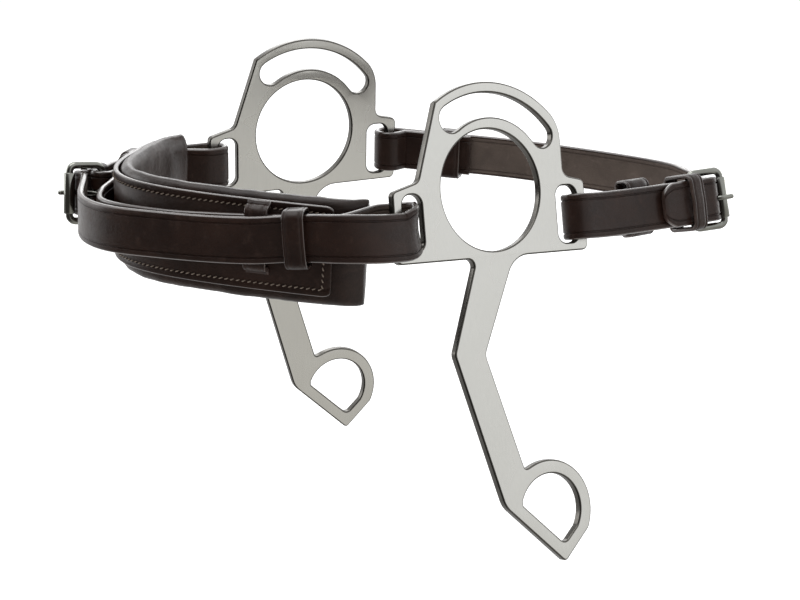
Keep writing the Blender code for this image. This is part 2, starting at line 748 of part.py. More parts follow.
def tongue_points():
    """The tongue's middle line: a curl round the heel bar and a shaft that rests on the roller."""
    curl = BUCKLE_WIRE + TONGUE_CLEARANCE + TONGUE_RADIUS
    top = BUCKLE_RAISE + roller_radius() + TONGUE_CLEARANCE + TONGUE_RADIUS
    points = []
    for i in range(TONGUE_CURL_STEPS + 1):
        angle = math.radians(TONGUE_CURL_START + TONGUE_CURL_TURN * i / TONGUE_CURL_STEPS)
        points.append(Vector((curl * math.cos(angle), curl * math.sin(angle), 0.0)))
    start = points[-1]
    end = Vector((BUCKLE_LENGTH, top, 0.0))
    lead = start + Vector((BUCKLE_LENGTH * TONGUE_LEAD, 0.0, 0.0))
    rise = end - Vector((BUCKLE_LENGTH * TONGUE_RISE, 0.0, 0.0))
    for i in range(1, TONGUE_SHAFT_STEPS + 1):
        t = i / TONGUE_SHAFT_STEPS
        a, b = start.lerp(lead, t), lead.lerp(rise, t)
        c = rise.lerp(end, t)
        points.append(a.lerp(b, t).lerp(b.lerp(c, t), t))
    points.append(end + Vector((TONGUE_OVERHANG, TONGUE_OVERHANG * 0.10, 0.0)))
    return points


def build_tongue(prefix, frame):
    tongue = tube(prefix + "_buckle_tongue", frame, tongue_points(), TONGUE_RADIUS, BUCKLE_STEEL)
    add_bevel(tongue, TONGUE_RADIUS * 0.35, angle=60.0)


def in_frame(frame, a, outward, up):
    return frame @ Vector((a, outward, 0.0)), up


def beside_route(stations, start, end, inward):
    """Stations beside a route, on its right, between two distances along it."""
    squared = square_up(stations)
    walked = 0.0
    beside = []
    for i in range(1, len(squared)):
        place, up, along = squared[i]
        walked += (place - squared[i - 1][0]).length
        if start <= walked <= end:
            beside.append((place + along.cross(up) * inward, up))
    return beside


def chape(heel, back):
    """Stations of a strap that comes along outside, turns round the heel bar and goes back inside."""
    up = -(heel.to_3x3() @ UP).normalized()
    radius = chape_radius()
    stations = [in_frame(heel, -lead, radius, up) for lead in CHAPE_LEADS]
    for i in range(FOLD_STEPS + 1):
        angle = math.pi * (0.5 - i / FOLD_STEPS)
        stations.append(in_frame(heel, radius * math.cos(angle), radius * math.sin(angle), up))
    stations.append(in_frame(heel, -CHAPE_SETTLE, -radius, up))
    stations.append(in_frame(heel, -back, -radius, up))
    return stations


def billet_gate():
    """Where the billet's middle line passes the roller, along the buckle."""
    return BUCKLE_LENGTH - roller_radius() - PLY_GAP - STRAP_THICKNESS / 2


def kink(lift):
    """How far from the heel bar the billet bends from the chape's direction to the buckle's."""
    return billet_height() * math.tan(lift / 2)


def billet(heel, buckle):
    """Stations from the billet's tip over the chape, along the buckle and down through it."""
    up = -(heel.to_3x3() @ UP).normalized()
    buckle_up = -(buckle.to_3x3() @ UP).normalized()
    height = billet_height()
    lift = heel.to_3x3().col[0].angle(buckle.to_3x3().col[0])
    stations = [in_frame(heel, -BILLET_TAIL + back, height, up) for back in BILLET_POINT_STEPS]
    stations.append(in_frame(heel, -BILLET_TAIL + BILLET_POINT, height, up))
    turn_at = billet_gate() - BILLET_BEND
    straight = kink(lift) + (turn_at - kink(lift)) * BILLET_STRAIGHT
    stations.append(in_frame(heel, -kink(lift) - BILLET_LEAD, height, up))
    stations.append(in_frame(buckle, straight, height, buckle_up))
    for i in range(FOLD_STEPS + 1):
        angle = math.pi / 2 * (1 - i / FOLD_STEPS)
        along = turn_at + BILLET_BEND * math.cos(angle)
        out = height - BILLET_BEND + BILLET_BEND * math.sin(angle)
        stations.append(in_frame(buckle, along, out, buckle_up))
    stations.append(in_frame(buckle, billet_gate(), -BILLET_DROP, buckle_up))
    return stations


def hole_cutter(name, place, up, along, length=HOLE_LENGTH):
    """An oval punch through a strap: two half rounds and their flats."""
    out = along.cross(up).normalized()
    frame = Matrix((along, up, out)).transposed().to_4x4()
    frame.translation = place
    outline = []
    straight = (length - HOLE_WIDTH) / 2
    for centre, start in ((straight, -90.0), (-straight, 90.0)):
        outline += [(x, z) for x, z, _ in arc(centre, 0.0, HOLE_WIDTH / 2, start, start + 180.0, 30.0)]
    work = bmesh.new()
    ring = [work.verts.new((x, z, -STRAP_THICKNESS * 1.2)) for x, z in outline]
    face = work.faces.new(ring)
    made = bmesh.ops.extrude_face_region(work, geom=[face])
    lifted = [v for v in made["geom"] if isinstance(v, bmesh.types.BMVert)]
    bmesh.ops.translate(work, verts=lifted, vec=(0.0, 0.0, STRAP_THICKNESS * 2.4))
    bmesh.ops.recalc_face_normals(work, faces=work.faces)
    mesh = bpy.data.meshes.new(name)
    work.to_mesh(mesh)
    work.free()
    cutter = bpy.data.objects.new(name, mesh)
    cutter.matrix_world = frame
    return cutter


def holes_along(prefix, stations, first, count):
    """Punches at even steps along a route, from a first distance."""
    squared = square_up(stations)
    wanted = [first + HOLE_PITCH * i for i in range(count)]
    walked = 0.0
    cutters = []
    for i in range(1, len(squared)):
        place, up, along = squared[i]
        before = squared[i - 1][0]
        step = (place - before).length
        while wanted and wanted[0] <= walked + step:
            spot = before.lerp(place, (wanted[0] - walked) / step)
            cutters.append(hole_cutter("%s_hole_%d" % (prefix, len(cutters)), spot, up, along))
            wanted.pop(0)
        walked += step
    return cutters


def tongue_hole_distance(lift):
    """How far from the billet's tip the tongue passes through it."""
    centre = Vector((billet_gate() - BILLET_BEND, billet_height() - BILLET_BEND, 0.0))
    shaft = tongue_points()[-TONGUE_SHAFT_STEPS - 2:]
    line = [a.lerp(b, k / 12) for a, b in zip(shaft, shaft[1:]) for k in range(12)]
    ahead = [point - centre for point in line if point.x > centre.x]
    crossing = min(ahead, key=lambda arm: abs(arm.length - BILLET_BEND))
    turned = math.pi / 2 - math.atan2(crossing.y, crossing.x)
    return BILLET_TAIL + centre.x - 2 * kink(lift) + BILLET_BEND * turned


def chape_cutter(name, frame):
    """A block that opens the chape's fold for the tongue."""
    work = bmesh.new()
    bmesh.ops.create_cube(work, size=1.0)
    high = chape_radius() + STRAP_THICKNESS / 2 + PLY_GAP / 2
    front = chape_radius() + STRAP_THICKNESS
    vec = (front + CHAPE_SLOT_BACK, high * 2, CHAPE_SLOT_WIDTH)
    bmesh.ops.scale(work, verts=work.verts, vec=vec)
    bmesh.ops.translate(work, verts=work.verts, vec=((front - CHAPE_SLOT_BACK) / 2, 0.0, 0.0))
    mesh = bpy.data.meshes.new(name)
    work.to_mesh(mesh)
    work.free()
    cutter = bpy.data.objects.new(name, mesh)
    cutter.matrix_world = frame
    return cutter


def nose_chape_matrix():
    """The heel bar of the nose buckle, in line with the strap on the far half of the pad."""
    outward = on_facing() + STRAP_THICKNESS + PLY_GAP + chape_radius()
    seat = pad_station(NOSE_BUCKLE_STATION, outward, NOSE_BUCKLE_RISE)
    return seat @ Matrix.Rotation(math.pi + NOSE_BUCKLE_TILT, 4, "Y")


def curb_chape_matrix():
    """The heel bar of the curb buckle, in line with the near rear slot."""
    place, _ = beside_bar(NEAR, TO_JAW, CURB_NEAR_LENGTH, fold_radius() - chape_radius())
    matrix = cheek_matrix(NEAR)
    level = Matrix.Rotation(-NEAR_PITCH, 4, "Y")
    matrix.translation = place + UP * CURB_BUCKLE_RISE
    return matrix @ level @ Matrix.Rotation(math.pi, 4, "X")


def lifted(frame, angle):
    """A buckle turned outward about its heel bar."""
    return frame @ Matrix.Rotation(angle, 4, "Z")


def build_nose_strap():
    """One strap: billet, outer near layer, near fold, inner layer, far fold and chape."""
    heel = nose_chape_matrix()
    buckle = lifted(heel, NOSE_BUCKLE_LIFT)
    base = on_facing()
    stations = billet(heel, buckle)
    stations += [on_pad(s, base + extra, rise) for s, extra, rise in NOSE_NEAR_OUTER_ROUTE]
    stations.append(beside_bar(NEAR, TO_NOSE, BAR_LEAD_OUTSIDE, fold_radius()))
    stations += fold(NEAR, TO_NOSE)
    stations.append(beside_bar(NEAR, TO_NOSE, BAR_LEAD_INSIDE, -fold_radius()))
    stations += [on_pad(s, base + extra, rise) for s, extra, rise in NOSE_INNER_ROUTE]
    stations.append(beside_bar(FAR, TO_NOSE, BAR_LEAD_INSIDE, -fold_radius()))
    stations += list(reversed(fold(FAR, TO_NOSE)))
    stations.append(beside_bar(FAR, TO_NOSE, BAR_LEAD_OUTSIDE, fold_radius()))
    stations += [on_pad(s, base + extra, rise) for s, extra, rise in NOSE_FAR_OUTER_ROUTE]
    stations += chape(heel, NOSE_CHAPE_RETURN)
    route = smooth_route(stations)
    strap = ribbon("nose_strap", route, STRAP_LEATHER, pointed=True)
    first = tongue_hole_distance(NOSE_BUCKLE_LIFT) - HOLE_PITCH
    cut(strap, holes_along("nose", route, first, NOSE_HOLES) + [chape_cutter("nose_chape_slot", heel)])
    build_buckle("nose", buckle)
    behind = heel @ Matrix.Translation((-NOSE_KEEPER_BACK, 0.0, 0.0))
    keeper("nose_keeper_fixed", behind, chape_radius(), billet_height())
    slim_keeper("nose_keeper_near", NEAR, route)
    slim_keeper("nose_keeper_far", FAR, route)


def build_curb_straps():
    """The short near strap with the buckle, and the long strap from the far cheek."""
    heel = curb_chape_matrix()
    buckle = lifted(heel, CURB_BUCKLE_LIFT)
    radius = fold_radius()
    stations = [
        beside_bar(NEAR, TO_JAW, CURB_RETURN, -radius + CURB_RETURN_RISE),
        beside_bar(NEAR, TO_JAW, CURB_LEAD_INSIDE, -radius),
    ]
    stations += list(reversed(fold(NEAR, TO_JAW)))
    stations.append(beside_bar(NEAR, TO_JAW, CURB_LEAD_OUTSIDE, radius))
    stations += chape(heel, CURB_CHAPE_RETURN)
    near = ribbon("curb_strap_near", smooth_route(stations), STRAP_LEATHER)
    cut(near, [chape_cutter("curb_chape_slot", heel)])

    stations = billet(heel, buckle)
    start, start_up = stations[-1]
    end, end_up = beside_bar(FAR, TO_JAW, CURB_FAR_LEAD, radius)
    across = end - start
    rearward = UP.cross(across).normalized()
    for share, bow, sag in reversed(CURB_ROUTE):
        place = end.lerp(start, share) - rearward * bow - UP * sag
        stations.append((place, end_up.lerp(start_up, share)))
    main = smooth_route(stations + [(end, end_up)])
    turn = fold(FAR, TO_JAW)
    turn += beside_route(list(reversed(main)), FAR_RETURN_START, FAR_RETURN_END, FAR_PLY_STEP)
    route = main[:-1] + smooth_route([main[-1]] + turn)
    far = ribbon("curb_strap_far", route, STRAP_LEATHER, pointed=True)
    first = tongue_hole_distance(CURB_BUCKLE_LIFT) - HOLE_PITCH
    cut(far, holes_along("curb", route, first, CURB_HOLES))
    build_buckle("curb", buckle)
    behind = heel @ Matrix.Translation((-CURB_KEEPER_BACK, 0.0, 0.0))
    keeper("curb_keeper_fixed", behind, -chape_radius(), billet_height())
    beyond = heel @ Matrix.Translation((-INNER_LOOP_BACK, 0.0, 0.0))
    plies = (-chape_radius() - INNER_LOOP_BULGE, -chape_radius() - INNER_LOOP_SHIFT)
    keeper("curb_inner_loop", beyond, *plies, INNER_LOOP_WIDTH, room=INNER_LOOP_ROOM)
    round_both = route_frame(list(reversed(main)), FAR_KEEPER_PLACE)
    keeper("curb_keeper_far", round_both, -FAR_PLY_STEP, 0.0, FAR_KEEPER_WIDTH)


clear_scene()
PARTS = new_collection("hackamore")
CUTTERS = new_collection("cutters")
build_cheeks()
build_pad()
build_loop("near_nose_loop", NEAR)
build_loop("far_nose_loop", FAR)
build_nose_strap()
build_curb_straps()
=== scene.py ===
"""Dresses the hackamore: steel lever cheeks, a padded leather nosepiece and two buckled straps.

X runs from the nose to the jaw, Y from the near cheek to the far cheek and Z up. The origin is the
middle of the nosepiece's inner face. Lengths are in metres.
"""

from __future__ import annotations

import logging
import math
from dataclasses import dataclass
from enum import Enum
from functools import cached_property

import bmesh
import bpy
from bmesh.types import BMesh, BMVert
from bpy.types import Material, Node, NodeSocket, NodeTree, Object
from mathutils import Matrix, Vector, noise

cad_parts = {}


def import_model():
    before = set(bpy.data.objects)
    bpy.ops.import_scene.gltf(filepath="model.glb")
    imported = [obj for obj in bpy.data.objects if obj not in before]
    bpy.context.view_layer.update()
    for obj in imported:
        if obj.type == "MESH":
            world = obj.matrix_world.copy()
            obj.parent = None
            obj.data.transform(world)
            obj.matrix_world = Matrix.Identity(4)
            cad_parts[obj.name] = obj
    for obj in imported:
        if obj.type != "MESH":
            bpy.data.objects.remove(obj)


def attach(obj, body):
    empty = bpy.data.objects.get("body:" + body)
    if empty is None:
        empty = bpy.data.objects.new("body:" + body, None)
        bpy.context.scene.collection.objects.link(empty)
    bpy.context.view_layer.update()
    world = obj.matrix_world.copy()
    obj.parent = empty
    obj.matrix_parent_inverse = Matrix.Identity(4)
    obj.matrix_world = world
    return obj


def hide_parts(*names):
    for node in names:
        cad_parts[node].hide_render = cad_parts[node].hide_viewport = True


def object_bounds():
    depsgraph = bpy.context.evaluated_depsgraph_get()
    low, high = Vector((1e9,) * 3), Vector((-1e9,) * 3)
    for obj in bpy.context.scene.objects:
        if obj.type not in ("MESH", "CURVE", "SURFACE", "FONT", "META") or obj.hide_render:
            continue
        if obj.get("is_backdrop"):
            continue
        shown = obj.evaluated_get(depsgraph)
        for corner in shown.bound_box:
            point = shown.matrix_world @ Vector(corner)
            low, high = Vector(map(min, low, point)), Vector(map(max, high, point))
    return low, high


LOG = logging.getLogger("hackamore")
UP = Vector((0.0, 0.0, 1.0))
# Between the layers of the nosepiece, and between a strap and what it lies on
SEAT_GAP = 0.0003
PLY_GAP = 0.0004
# The share of its thickness that a band keeps at its cut ends, where it is pressed thin
CUT_END = 0.72
# The distance wanted between a strap's stations
STRAP_STEP = 0.0010
# The mix node's sockets for two colours, and its output for their mixture
MIX_A, MIX_B, MIXED = 6, 7, 2
QUARTER_TURN = math.pi / 2

Triple = tuple[float, float, float]
# An arc's centre, its radius, and its first angle, last angle and step in degrees
Arc = tuple[tuple[float, float], float, float, float, float]


class Side(Enum):
    """The two sides of the horse's head; the near side is its left."""

    NEAR = -1
    FAR = 1


class Reach(Enum):
    """Which way along a cheek plate a slot lies."""

    NOSE = -1
    JAW = 1


class Body(Enum):
    """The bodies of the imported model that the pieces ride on."""

    NOSEPIECE = "nosepiece"
    NEAR_LEVER = "near_lever"
    FAR_LEVER = "far_lever"
    CURB = "curb"
    NOSE_TONGUE = "nose_tongue"
    NOSE_ROLLER = "nose_roller"
    CURB_TONGUE = "curb_tongue"
    CURB_ROLLER = "curb_roller"
    NEAR_KEEPER = "near_keeper"
    FAR_KEEPER = "far_keeper"


class Slot(Enum):
    """The record's material slots."""

    PLATE = "polished_steel"
    BUCKLE = "buckle_steel"
    STRAP = "strap_leather"
    PAD = "pad_leather"


# Finishes


def linear(code: str) -> tuple[float, float, float, float]:
    """Turns an sRGB hex colour to linear light.

    Args:
        code: Six hex digits, with or without a leading #.

    Returns:
        Red, green, blue and an alpha of one.
    """
    digits = code.lstrip("#")
    shares = [int(digits[i:i + 2], 16) / 255.0 for i in (0, 2, 4)]
    curve = [s / 12.92 if s <= 0.04045 else ((s + 0.055) / 1.055) ** 2.4 for s in shares]
    return (curve[0], curve[1], curve[2], 1.0)


def per_metre(millimetres: float) -> float:
    """The pattern scale that repeats once in a real size."""
    return 1000.0 / millimetres


def node(tree: NodeTree, kind: str, links: dict | None = None, **settings: object) -> Node:
    """Adds a shader node with its settings and the links into it.

    Args:
        tree: The material's node tree.
        kind: The node's type name.
        links: Input name or number to an output socket, or to a plain value.
        **settings: Attributes of the node itself.

    Returns:
        The new node.
    """
    made = tree.nodes.new(kind)
    for name, value in settings.items():
        setattr(made, name, value)
    for key, value in (links or {}).items():
        if isinstance(value, NodeSocket):
            tree.links.new(value, made.inputs[key])
        else:
            made.inputs[key].default_value = value
    return made


def bare_material(name: str) -> tuple[Material, NodeTree, Node]:
    """Makes a new material, ready for its finish.

    Args:
        name: The material's name.

    Returns:
        The material, its node tree and its shader.
    """
    made = bpy.data.materials.new(name)
    made.use_nodes = True
    return made, made.node_tree, made.node_tree.nodes["Principled BSDF"]


@dataclass(frozen=True)
class GroundSteel:
    """Stainless steel plate, cut from sheet, its faces satin ground and its edges tumbled."""

    name: str = "ground_stainless_steel"
    face: str = "#D8D8D4"
    shade: str = "#CECECA"
    roughness: float = 0.24
    scratch_mm: float = 0.7
    # Scratches run along the shank: the pattern is drawn forty times as long that way
    scratch_stretch: Triple = (1.0, 1.0, 0.025)
    cloud_mm: float = 26.0

    def make(self) -> Material:
        """The plate's finish: a soft satin with faint lengthwise scratches and cloudy polish.

        Returns:
            The material.
        """
        made, tree, shader = bare_material(self.name)
        shader.inputs["Metallic"].default_value = 1.0
        place = node(tree, "ShaderNodeTexCoord").outputs["Object"]
        along = node(tree, "ShaderNodeMapping", {"Vector": place, "Scale": self.scratch_stretch})
        scratch = node(tree, "ShaderNodeTexNoise", {
            "Vector": along.outputs[0], "Scale": per_metre(self.scratch_mm), "Detail": 4.0})
        cloud = node(tree, "ShaderNodeTexNoise", {
            "Vector": place, "Scale": per_metre(self.cloud_mm), "Detail": 1.0})
        both = node(tree, "ShaderNodeMath", {0: scratch.outputs[0], 1: cloud.outputs[0]}, operation="ADD")
        tone = node(tree, "ShaderNodeMapRange", {"Value": both.outputs[0], "From Min": 0.4, "From Max": 1.6})
        paint = node(tree, "ShaderNodeMix", {
            "Factor": tone.outputs[0], MIX_A: linear(self.shade), MIX_B: linear(self.face)}, data_type="RGBA")
        tree.links.new(paint.outputs[MIXED], shader.inputs["Base Color"])
        rough = node(tree, "ShaderNodeMapRange", {
            "Value": cloud.outputs[0], "From Min": 0.3, "From Max": 0.7,
            "To Min": self.roughness - 0.06, "To Max": self.roughness + 0.08})
        tree.links.new(rough.outputs[0], shader.inputs["Roughness"])
        return made


@dataclass(frozen=True)
class SmoothSteel:
    """Steel with one even polish and the dullness of handling."""

    name: str
    colour: str
    worn: str
    roughness: float
    cloud_mm: float = 6.0

    def make(self) -> Material:
        """The finish: polished metal, a little duller and darker in soft clouds.

        Returns:
            The material.
        """
        made, tree, shader = bare_material(self.name)
        shader.inputs["Metallic"].default_value = 1.0
        place = node(tree, "ShaderNodeTexCoord").outputs["Object"]
        cloud = node(tree, "ShaderNodeTexNoise", {
            "Vector": place, "Scale": per_metre(self.cloud_mm), "Detail": 4.0})
        paint = node(tree, "ShaderNodeMix", {
            "Factor": cloud.outputs[0], MIX_A: linear(self.colour), MIX_B: linear(self.worn)},
            data_type="RGBA")
        tree.links.new(paint.outputs[MIXED], shader.inputs["Base Color"])
        rough = node(tree, "ShaderNodeMapRange", {
            "Value": cloud.outputs[0], "From Min": 0.3, "From Max": 0.7,
            "To Min": self.roughness - 0.05, "To Max": self.roughness + 0.07})
        tree.links.new(rough.outputs[0], shader.inputs["Roughness"])
        return made


@dataclass(frozen=True)
class Leather:
    """Vegetable tanned leather, dyed through and dressed with wax."""

    name: str
    colour: str
    deep: str
    worn: str
    roughness: float
    cloud_mm: float = 17.0
    grain_mm: float = 0.55
    grain_depth: float = 0.00006
    wrinkle_mm: float = 5.0
    wrinkle_depth: float = 0.00005
    # Grain and wrinkles are drawn this many times deeper than real, or they wouldn't show
    deepened: float = 10.0
    bare_gloss: float = 0.14
    coat: float = 0.6
    wax: float = 1.36
    gloss: float = 0.24

    def make(self) -> Material:
        """The finish: pebbled grain, cloudy dye, faint wrinkles and a thin coat of wax.

        Returns:
            The material.
        """
        made, tree, shader = bare_material(self.name)
        # Wax lies thin over the grain: dull seen straight on, glossy where the light grazes it
        shader.inputs["Coat Weight"].default_value = self.coat
        shader.inputs["Coat Roughness"].default_value = self.gloss
        shader.inputs["Coat IOR"].default_value = self.wax
        shader.inputs["Specular IOR Level"].default_value = self.bare_gloss
        place = node(tree, "ShaderNodeTexCoord").outputs["Object"]
        pebble = node(tree, "ShaderNodeTexVoronoi", {
            "Vector": place, "Scale": per_metre(self.grain_mm)}, feature="DISTANCE_TO_EDGE")
        fibre = node(tree, "ShaderNodeTexNoise", {
            "Vector": place, "Scale": per_metre(self.wrinkle_mm), "Detail": 5.0, "Roughness": 0.6})
        cloud = node(tree, "ShaderNodeTexNoise", {
            "Vector": place, "Scale": per_metre(self.cloud_mm), "Detail": 3.0, "Distortion": 0.6})
        dye = node(tree, "ShaderNodeMapRange", {"Value": cloud.outputs[0], "From Min": 0.32, "From Max": 0.68})
        dyed = node(tree, "ShaderNodeMix", {
            "Factor": dye.outputs[0], MIX_A: linear(self.deep), MIX_B: linear(self.colour)}, data_type="RGBA")
        # Fibres that stand up are rubbed lighter
        rub = node(tree, "ShaderNodeMapRange", {
            "Value": fibre.outputs[0], "From Min": 0.56, "From Max": 0.78, "To Max": 0.55})
        paint = node(tree, "ShaderNodeMix", {
            "Factor": rub.outputs[0], MIX_A: dyed.outputs[MIXED], MIX_B: linear(self.worn)}, data_type="RGBA")
        tree.links.new(paint.outputs[MIXED], shader.inputs["Base Color"])
        rough = node(tree, "ShaderNodeMapRange", {
            "Value": fibre.outputs[0], "From Min": 0.3, "From Max": 0.7,
            "To Min": self.roughness - 0.07, "To Max": self.roughness + 0.09})
        tree.links.new(rough.outputs[0], shader.inputs["Roughness"])
        wrinkle = node(tree, "ShaderNodeBump", {
            "Height": fibre.outputs[0], "Strength": 0.5, "Distance": self.wrinkle_depth * self.deepened})
        grain = node(tree, "ShaderNodeBump", {
            "Height": pebble.outputs[0], "Strength": 0.45,
            "Distance": self.grain_depth * self.deepened, "Normal": wrinkle.outputs[0]})
        tree.links.new(grain.outputs[0], shader.inputs["Normal"])
        return made


@dataclass(frozen=True)
class WaxedThread:
    """Linen thread, twisted and waxed."""

    name: str = "waxed_linen_thread"
    colour: str = "#85776A"
    dark: str = "#4F443B"
    roughness: float = 0.72
    twist_mm: float = 0.5
    twist_depth: float = 0.0003

    def make(self) -> Material:
        """The finish: matt, with the shade of its twist.

        Returns:
            The material.
        """
        made, tree, shader = bare_material(self.name)
        shader.inputs["Roughness"].default_value = self.roughness
        place = node(tree, "ShaderNodeTexCoord").outputs["Object"]
        twist = node(tree, "ShaderNodeTexNoise", {
            "Vector": place, "Scale": per_metre(self.twist_mm), "Detail": 2.0})
        paint = node(tree, "ShaderNodeMix", {
            "Factor": twist.outputs[0], MIX_A: linear(self.dark), MIX_B: linear(self.colour)},
            data_type="RGBA")
        tree.links.new(paint.outputs[MIXED], shader.inputs["Base Color"])
        bump = node(tree, "ShaderNodeBump", {
            "Height": twist.outputs[0], "Strength": 0.5, "Distance": self.twist_depth})
        tree.links.new(bump.outputs[0], shader.inputs["Normal"])
        return made


class Finishes:
    """Every material of the hackamore, made once."""

    def __init__(self) -> None:
        """Makes the materials."""
        # Ground plate: a pale satin that mirrors the studio's walls softly
        self.plate = GroundSteel().make()
        # Cut and tumbled edges: darker than the ground faces, and a little duller
        self.plate_edge = SmoothSteel("tumbled_steel_edge", "#6A6864", "#45433F", 0.26).make()
        # Bent and polished buckle wire: a grey with a touch of green, dulled by handling
        self.buckle = SmoothSteel("polished_steel_wire", "#9A9B96", "#74756F", 0.20).make()
        # Bridle leather: dense, smooth and nearly black brown
        self.strap = Leather("havana_bridle_leather", "#2B1A13", "#20120D", "#3B2920", 0.40).make()
        # Cut edges burnished with wax: paler, and glossy where they catch the light
        self.strap_edge = Leather(
            "burnished_leather_edge", "#463833", "#322723", "#60524C", 0.32,
            coat=1.0, wax=1.75, gloss=0.17).make()
        # The straps' flesh side: shaved, paler and nearly matt
        self.flesh = Leather(
            "dressed_flesh_side", "#574C45", "#4A403A", "#6A5E57", 0.60, coat=0.15, gloss=0.45).make()
        # The facing: bridle leather with a thinner coat of wax all over
        self.facing = Leather(
            "facing_leather", "#2B1B14", "#20130E", "#3B2A21", 0.44, coat=0.3, wax=1.3).make()
        # Nappa over felt: softer, with a larger grain and more wrinkles
        self.pad = Leather(
            "padded_nappa_leather", "#2B1C16", "#1F1410", "#3C2A22", 0.40,
            grain_mm=0.8, wrinkle_depth=0.00009, gloss=0.26).make()
        # Linen thread: matt, and much paler than the leather it is sunk in
        self.thread = WaxedThread().make()


# Routes: a strap's middle line with its width direction


@dataclass(frozen=True)
class Station:
    """A point on a strap's middle line, and the strap's width direction there."""

    place: Vector
    up: Vector


def curve_point(points: list[Vector], share: float) -> Vector:
    """A point on the smooth curve between the middle two of four points.

    Args:
        points: Four points in order.
        share: How far from the second to the third, from 0 to 1.

    Returns:
        The point.
    """
    knots = [0.0]
    for a, b in zip(points, points[1:]):
        knots.append(knots[-1] + max(math.sqrt((b - a).length), 1e-5))
    t = knots[1] + (knots[2] - knots[1]) * share

    def blend(a: Vector, b: Vector, start: float, end: float) -> Vector:
        """Mixes two points by where t lies between two knots."""
        return a * ((end - t) / (end - start)) + b * ((t - start) / (end - start))

    first = [blend(points[i], points[i + 1], knots[i], knots[i + 1]) for i in range(3)]
    second = [blend(first[i], first[i + 1], knots[i], knots[i + 2]) for i in range(2)]
    return blend(second[0], second[1], knots[1], knots[2])


class Route:
    """A strap's way through the hackamore, as a row of stations."""

    def __init__(self, stations: list[Station], closed: bool = False) -> None:
        """Keeps the stations; a closed route joins its last one to its first."""
        self.stations = stations
        self.closed = closed

    def smoothed(self, step: float) -> Route:
        """Adds stations on a smooth curve wherever two lie far apart.

        Args:
            step: The distance wanted between stations.

        Returns:
            The denser route.
        """
        places = [s.place for s in self.stations]
        places = [places[0] * 2 - places[1]] + places + [places[-1] * 2 - places[-2]]
        dense = [self.stations[0]]
        for i, (here, ahead) in enumerate(zip(self.stations, self.stations[1:])):
            count = max(1, round((ahead.place - here.place).length / step))
            for k in range(1, count + 1):
                place = curve_point(places[i:i + 4], k / count)
                dense.append(Station(place, here.up.lerp(ahead.up, k / count).normalized()))
        return Route(dense)

    @cached_property
    def frames(self) -> list[Matrix]:
        """Frames along the route: X along it, Z across its width and Y out of its left face.

        Returns:
            One frame for each station.
        """
        made = []
        last = len(self.stations) - 1
        for i, station in enumerate(self.stations):
            if self.closed:
                ahead, behind = self.stations[(i + 1) % (last + 1)], self.stations[i - 1]
            else:
                ahead, behind = self.stations[min(i + 1, last)], self.stations[max(i - 1, 0)]
            along = (ahead.place - behind.place).normalized()
            up = (station.up - along * station.up.dot(along)).normalized()
            frame = Matrix((along, up.cross(along), up)).transposed().to_4x4()
            frame.translation = station.place
            made.append(frame)
        return made

    @cached_property
    def walked(self) -> list[float]:
        """The distance along the route at each station.

        Returns:
            Metres from the first station, one for each station.
        """
        total = [0.0]
        for a, b in zip(self.stations, self.stations[1:]):
            total.append(total[-1] + (b.place - a.place).length)
        return total

    def frame_at(self, distance: float) -> Matrix:
        """The frame at a distance along the route.

        Args:
            distance: Metres from the first station.

        Returns:
            The frame there.
        """
        total, frames = self.walked, self.frames
        for i in range(1, len(total)):
            if total[i] >= distance:
                share = (distance - total[i - 1]) / max(total[i] - total[i - 1], 1e-9)
                frame = frames[i].copy()
                frame.translation = frames[i - 1].translation.lerp(frames[i].translation, share)
                return frame
        return frames[-1]

    def distance_near(self, spot: Vector) -> float:
        """The distance along the route of its station nearest to a spot."""
        reaches = [(s.place - spot).length for s in self.stations]
        return self.walked[reaches.index(min(reaches))]

    def reversed(self) -> Route:
        """The same route from its other end."""
        return Route(list(reversed(self.stations)))


def arc(centre: tuple[float, float], radius: float, start: float, end: float, step: float) -> list[tuple]:
    """Points on an arc.

    Args:
        centre: The arc's centre.
        radius: Its radius.
        start: The first angle in degrees.
        end: The last angle in degrees.
        step: The angle wanted between points.

    Returns:
        Corners of no radius, as (x, z, 0).
    """
    count = max(2, round(abs(end - start) / step))
    angles = [math.radians(start + (end - start) * i / count) for i in range(count + 1)]
    return [(centre[0] + radius * math.cos(a), centre[1] + radius * math.sin(a), 0.0) for a in angles]


def round_corners(corners: list[tuple], steps: int, closed: bool = True) -> list[Vector]:
    """Rounds each corner of an outline with its own radius.

    Args:
        corners: (x, z, radius) of each corner.
        steps: Segments in each rounded corner.
        closed: Whether the outline joins up.

    Returns:
        The outline's points.
    """
    points = []
    last = len(corners) - 1
    for i, (x, z, radius) in enumerate(corners):
        here = Vector((x, z))
        if radius <= 0.0 or (not closed and i in (0, last)):
            points.append(here)
            continue
        before = (Vector(corners[i - 1][:2]) - here).normalized()
        after = (Vector(corners[(i + 1) % len(corners)][:2]) - here).normalized()
        half = before.angle(after) / 2
        reach = radius / math.tan(half)
        centre = here + (before + after).normalized() * (radius / math.sin(half))
        first = here + before * reach - centre
        final = here + after * reach - centre
        points += [centre + first.lerp(final, k / steps).normalized() * radius for k in range(steps + 1)]
    return points


def quarter_round(distance: float, radius: float) -> float:
    """How high an edge rounded in a quarter circle stands, as a share of its full height."""
    return math.sqrt(max(0.0, 1.0 - (1.0 - min(1.0, distance / radius)) ** 2))


# Meshes


